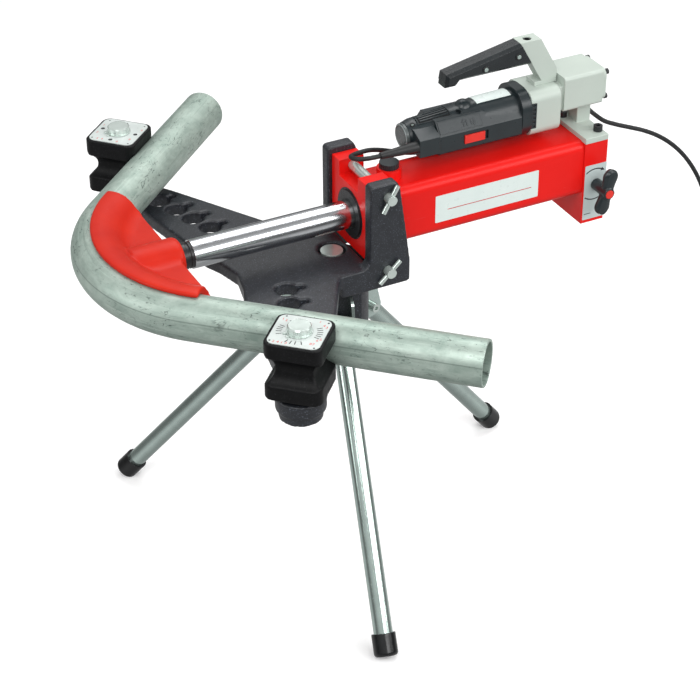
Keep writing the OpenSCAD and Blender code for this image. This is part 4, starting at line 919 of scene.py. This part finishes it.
def motor_pad():
    flat_piece("motor_pad", [PAD], PAD_T, facet(0), DARK, "machine")
    marks = []
    for u, way, beside in PAD_ARROWS:
        marks.append(bar(u, -STEM_BACK * way, *STEM, 0))
        marks.append(arrow_head(u, HEAD_ON * way, 90 * way, *HEAD))
        marks.append(bar(beside, 0, *BESIDE, 0))
    flat_piece("motor_arrows", marks, ARROW_T, facet(PAD_T), DARK, "machine")


END_RIM_X, END_RIM_R, END_BEAD_R = 85.7, 15.4, 1.1


def motor_end_rim():
    rim = [at(END_RIM_X, y, z) for y, z in disc(MOTOR_Y, MOTOR_Z, END_RIM_R, 48)]
    closed_bead("motor_end_rim", rim, END_BEAD_R * MM, RIM, "machine")


GRIP_SCREW_R = 3.0 * MM
GRIP_RIM_R, GRIP_RIM_DOWN, GRIP_BEAD_R = 4.2 * MM, 0.3 * MM, 1.0 * MM


def grip_screw_shade_rims():
    """A dark rim round each screw of the grip, painted shade for the recess that the screw sits in. The two
    screws reach the corners of their box.
    """
    low, high = (Vector(c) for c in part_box("grip_screws"))
    y = high.y - GRIP_RIM_DOWN
    for number, corner, inset in ((1, low, GRIP_SCREW_R), (2, high, -GRIP_SCREW_R)):
        outline = disc(corner.x + inset, corner.z + inset, GRIP_RIM_R, SMALL_RIM_STEPS)
        rim = [Vector((x, y, z)) for x, z in outline]
        closed_bead("grip_screw_rim_%d" % number, rim, GRIP_BEAD_R, RUBBER, "machine")


# Radius and height of the corners of the lining, from the top of the arm
ARM_HOLE = ((5.5, -1.9), (5.5, -11.5), (0.4, -11.5), (0.4, -12.4), (6.3, -12.4), (6.3, -1.9))
ARM_HOLE_STEPS = 32
ARM_TOP_WITHIN = 0.1 * MM


def arm_hole_shade():
    """A dark lining inside the hole in the arm's top: painted shade for the hole's dark inside."""
    _, high = (Vector(c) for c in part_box("handle_arm"))
    top = [v.co.x for v in nodes["handle_arm"].data.vertices if v.co.z > high.z - ARM_TOP_WITHIN]
    centre = Vector(((min(top) + max(top)) / 2, at(0, MOTOR_Y, 0).y, high.z))
    bm = bmesh.new()
    rings = []
    for r, z in ARM_HOLE:
        outline = disc(0, 0, r, ARM_HOLE_STEPS)
        rings.append([bm.verts.new(centre + Vector((x, y, z)) * MM) for x, y in outline])
    for a, b in zip(rings, rings[1:] + rings[:1]):
        for k in range(ARM_HOLE_STEPS):
            m = (k + 1) % ARM_HOLE_STEPS
            bm.faces.new((a[k], a[m], b[m], b[k]))
    mesh = closed_form(bm, "arm_hole_shade_lining", sharp=40)
    piece("arm_hole_shade_lining", mesh, BLACK_METAL, "machine")


PLATE_AT = (-215.3, 288.2)
PLATE_TOP = 41.0
TICK_TURNS = (163, 172, 181, 191, 204, 32, 22, 12, 2, -8, -18, -112, -98, -85, -68)
TICK_AT, TICK_L, TICK_W = 25, 7.0, 1.25
NUMBER_SIZE = 6.4
NEAR_DOT_R = 1.3
NEAR_DOTS = ((-25, 29), (28.5, 27), (-29, -27), (27, -29.5), (-17, 20))
NEAR_NUMBERS = (
    ("1", -27, 22), ("2", -22.5, 20), ("1", 18, 27), ("3", 29, 17), ("4", 25, 20),
    ("6", 26, -13), ("5", 29.5, -10), ("8", 20.5, -22), ("7", 24, -22),
    ("2", -24, -28), ("4", -18.5, -28), ("1", -13.5, -28), ("3", -8.5, -28),
)
FAR_HOLE_R, FAR_DOT_R = 2.9, 1.2
FAR_HOLES = ((-25, 2), (25.5, 0), (-1, -25), (0, 25.5))
FAR_DOTS = ((-26, 27), (28, 26), (-28, -27), (27, -28))
FAR_NUMBERS = (
    ("1", -28, 12), ("2", -28, -10), ("3", -20, -27), ("4", -13, -27),
    ("6", 10, -27), ("5", 29, 14), ("8", 24, -16),
)


def digits(name, marks, place, material, body):
    """Plain numbers laid on a face, as one thin mesh."""
    bm = bmesh.new()
    for text, u, v in marks:
        curve = bpy.data.curves.new("digit", "FONT")
        curve.body = text
        curve.size = NUMBER_SIZE
        curve.align_x = curve.align_y = "CENTER"
        curve.resolution_u = 3
        holder = bpy.data.objects.new("digit", curve)
        bpy.context.collection.objects.link(holder)
        graph = bpy.context.evaluated_depsgraph_get()
        mesh = bpy.data.meshes.new_from_object(holder.evaluated_get(graph))
        for vertex in mesh.vertices:
            vertex.co = place(u + vertex.co.x, v + vertex.co.y, SCALE_PRINT_T)
        bm.from_mesh(mesh)
        bpy.data.objects.remove(holder)
        bpy.data.meshes.remove(mesh)
    return piece(name, mesh_from(bm, name), material, body)


def scale_marks():
    c, s = math.cos(BEND), math.sin(BEND)
    x, y = PLATE_AT

    def near_place(u, v, h):
        return at(x + s * u + c * v, -y - c * u + s * v, PLATE_TOP + h)

    def far_place(u, v, h):
        return at(x + c * u + s * v, y - s * u + c * v, PLATE_TOP + h)

    ticks = []
    for turn in TICK_TURNS:
        a = math.radians(turn)
        ticks.append(bar(TICK_AT * math.cos(a), TICK_AT * math.sin(a), TICK_L, TICK_W, a))
    ticks += [disc(u, v, NEAR_DOT_R) for u, v in NEAR_DOTS]
    flat_piece("near_scale_ticks", ticks, SCALE_PRINT_T, near_place, INK, "near_roller_unit")
    digits("near_scale_numbers", NEAR_NUMBERS, near_place, RED_INK, "near_roller_unit")
    dots = [disc(u, v, FAR_HOLE_R) for u, v in FAR_HOLES]
    dots += [disc(u, v, FAR_DOT_R) for u, v in FAR_DOTS]
    flat_piece("far_scale_dots", dots, SCALE_PRINT_T, far_place, INK, "far_roller_unit")
    digits("far_scale_numbers", FAR_NUMBERS, far_place, RED_INK, "far_roller_unit")


cylinder_label()
valve_label()
motor_label()
motor_vent()
motor_screw()
motor_pad()
motor_end_rim()
grip_screw_shade_rims()
arm_hole_shade()
scale_marks()

# Floor, light and world

FLOOR_HALF_M = 60
FLOOR_GLOW = 0.14
WORLD_STRENGTH = 0.6
# Brightness of the surroundings at shares of the way from straight down to straight up
WORLD_BANDS = (
    (0.0, 0.55), (0.14, 0.85), (0.26, 1.1), (0.36, 0.85), (0.44, 0.3), (0.5, 0.14),
    (0.55, 0.24), (0.61, 0.5), (0.68, 0.85), (0.75, 1.0), (0.88, 0.9), (1.0, 0.45),
)
# Name of each lamp, its place in millimetres, its size in metres and its power in watts
LAMPS = (
    ("key", (-1500, -1500, 2300), (1.5, 1.5), 35),
    ("front", (500, -2400, 1400), (2.0, 1.2), 31),
    ("top", (900, 900, 2300), (2.2, 1.6), 34),
    ("left", (-2600, 400, 900), (1.4, 1.2), 17),
    ("right", (2100, -1700, 1100), (1.4, 1.4), 24),
)


def make_floor():
    """A plain pale floor."""
    bm = bmesh.new()
    bmesh.ops.create_grid(bm, x_segments=1, y_segments=1, size=FLOOR_HALF_M)
    floor = bpy.data.objects.new("floor", mesh_from(bm, "floor"))
    bpy.context.collection.objects.link(floor)
    s = Shader("floor")
    tone = s.mix(s.span(s.noise(0.8, 2), 0.3, 0.7, 0.0, 1.0), (0.97, 0.97, 0.97), (0.95, 0.95, 0.95))
    paint = s.finish(
        Base_Color=tone,
        Roughness=0.6,
        Specular_IOR_Level=0.15,
        Emission_Color=(1, 1, 1, 1),
        Emission_Strength=FLOOR_GLOW,
    )
    wear(floor, paint)
    floor.visible_diffuse = floor.visible_glossy = False


def area_light(name, place, look_at, size, power):
    data = bpy.data.lights.new(name, "AREA")
    data.shape = "RECTANGLE"
    data.size, data.size_y = size
    data.energy = power
    lamp = bpy.data.objects.new(name, data)
    lamp.location = place
    lamp.rotation_euler = (look_at - place).to_track_quat("-Z", "Y").to_euler()
    bpy.context.collection.objects.link(lamp)


def grey(tone):
    return (tone, tone, tone, 1)


def make_world():
    """Soft studio surroundings: bright overhead, darker bands towards the horizon for the bright metal."""
    world = bpy.data.worlds.new("studio")
    bpy.context.scene.world = world
    world.use_nodes = True
    tree = world.node_tree
    coords = tree.nodes.new("ShaderNodeTexCoord")
    split = tree.nodes.new("ShaderNodeSeparateXYZ")
    ramp = tree.nodes.new("ShaderNodeValToRGB")
    tree.links.new(coords.outputs["Generated"], split.inputs[0])
    height = tree.nodes.new("ShaderNodeMapRange")
    height.inputs["From Min"].default_value = -1.0
    tree.links.new(split.outputs["Z"], height.inputs["Value"])
    tree.links.new(height.outputs[0], ramp.inputs[0])
    tree.links.new(ramp.outputs[0], tree.nodes["Background"].inputs["Color"])
    tree.nodes["Background"].inputs["Strength"].default_value = WORLD_STRENGTH
    stops = ramp.color_ramp.elements
    lowest, *between, highest = WORLD_BANDS
    for stop, (position, tone) in zip(stops, (lowest, highest)):
        stop.position, stop.color = position, grey(tone)
    for position, tone in between:
        stops.new(position).color = grey(tone)


def make_light():
    for name, place, size, power in LAMPS:
        area_light(name, at(*place), at(0, 0, 0), size, power)
    make_world()
    bpy.context.scene.view_settings.view_transform = "Standard"


make_floor()
make_light()
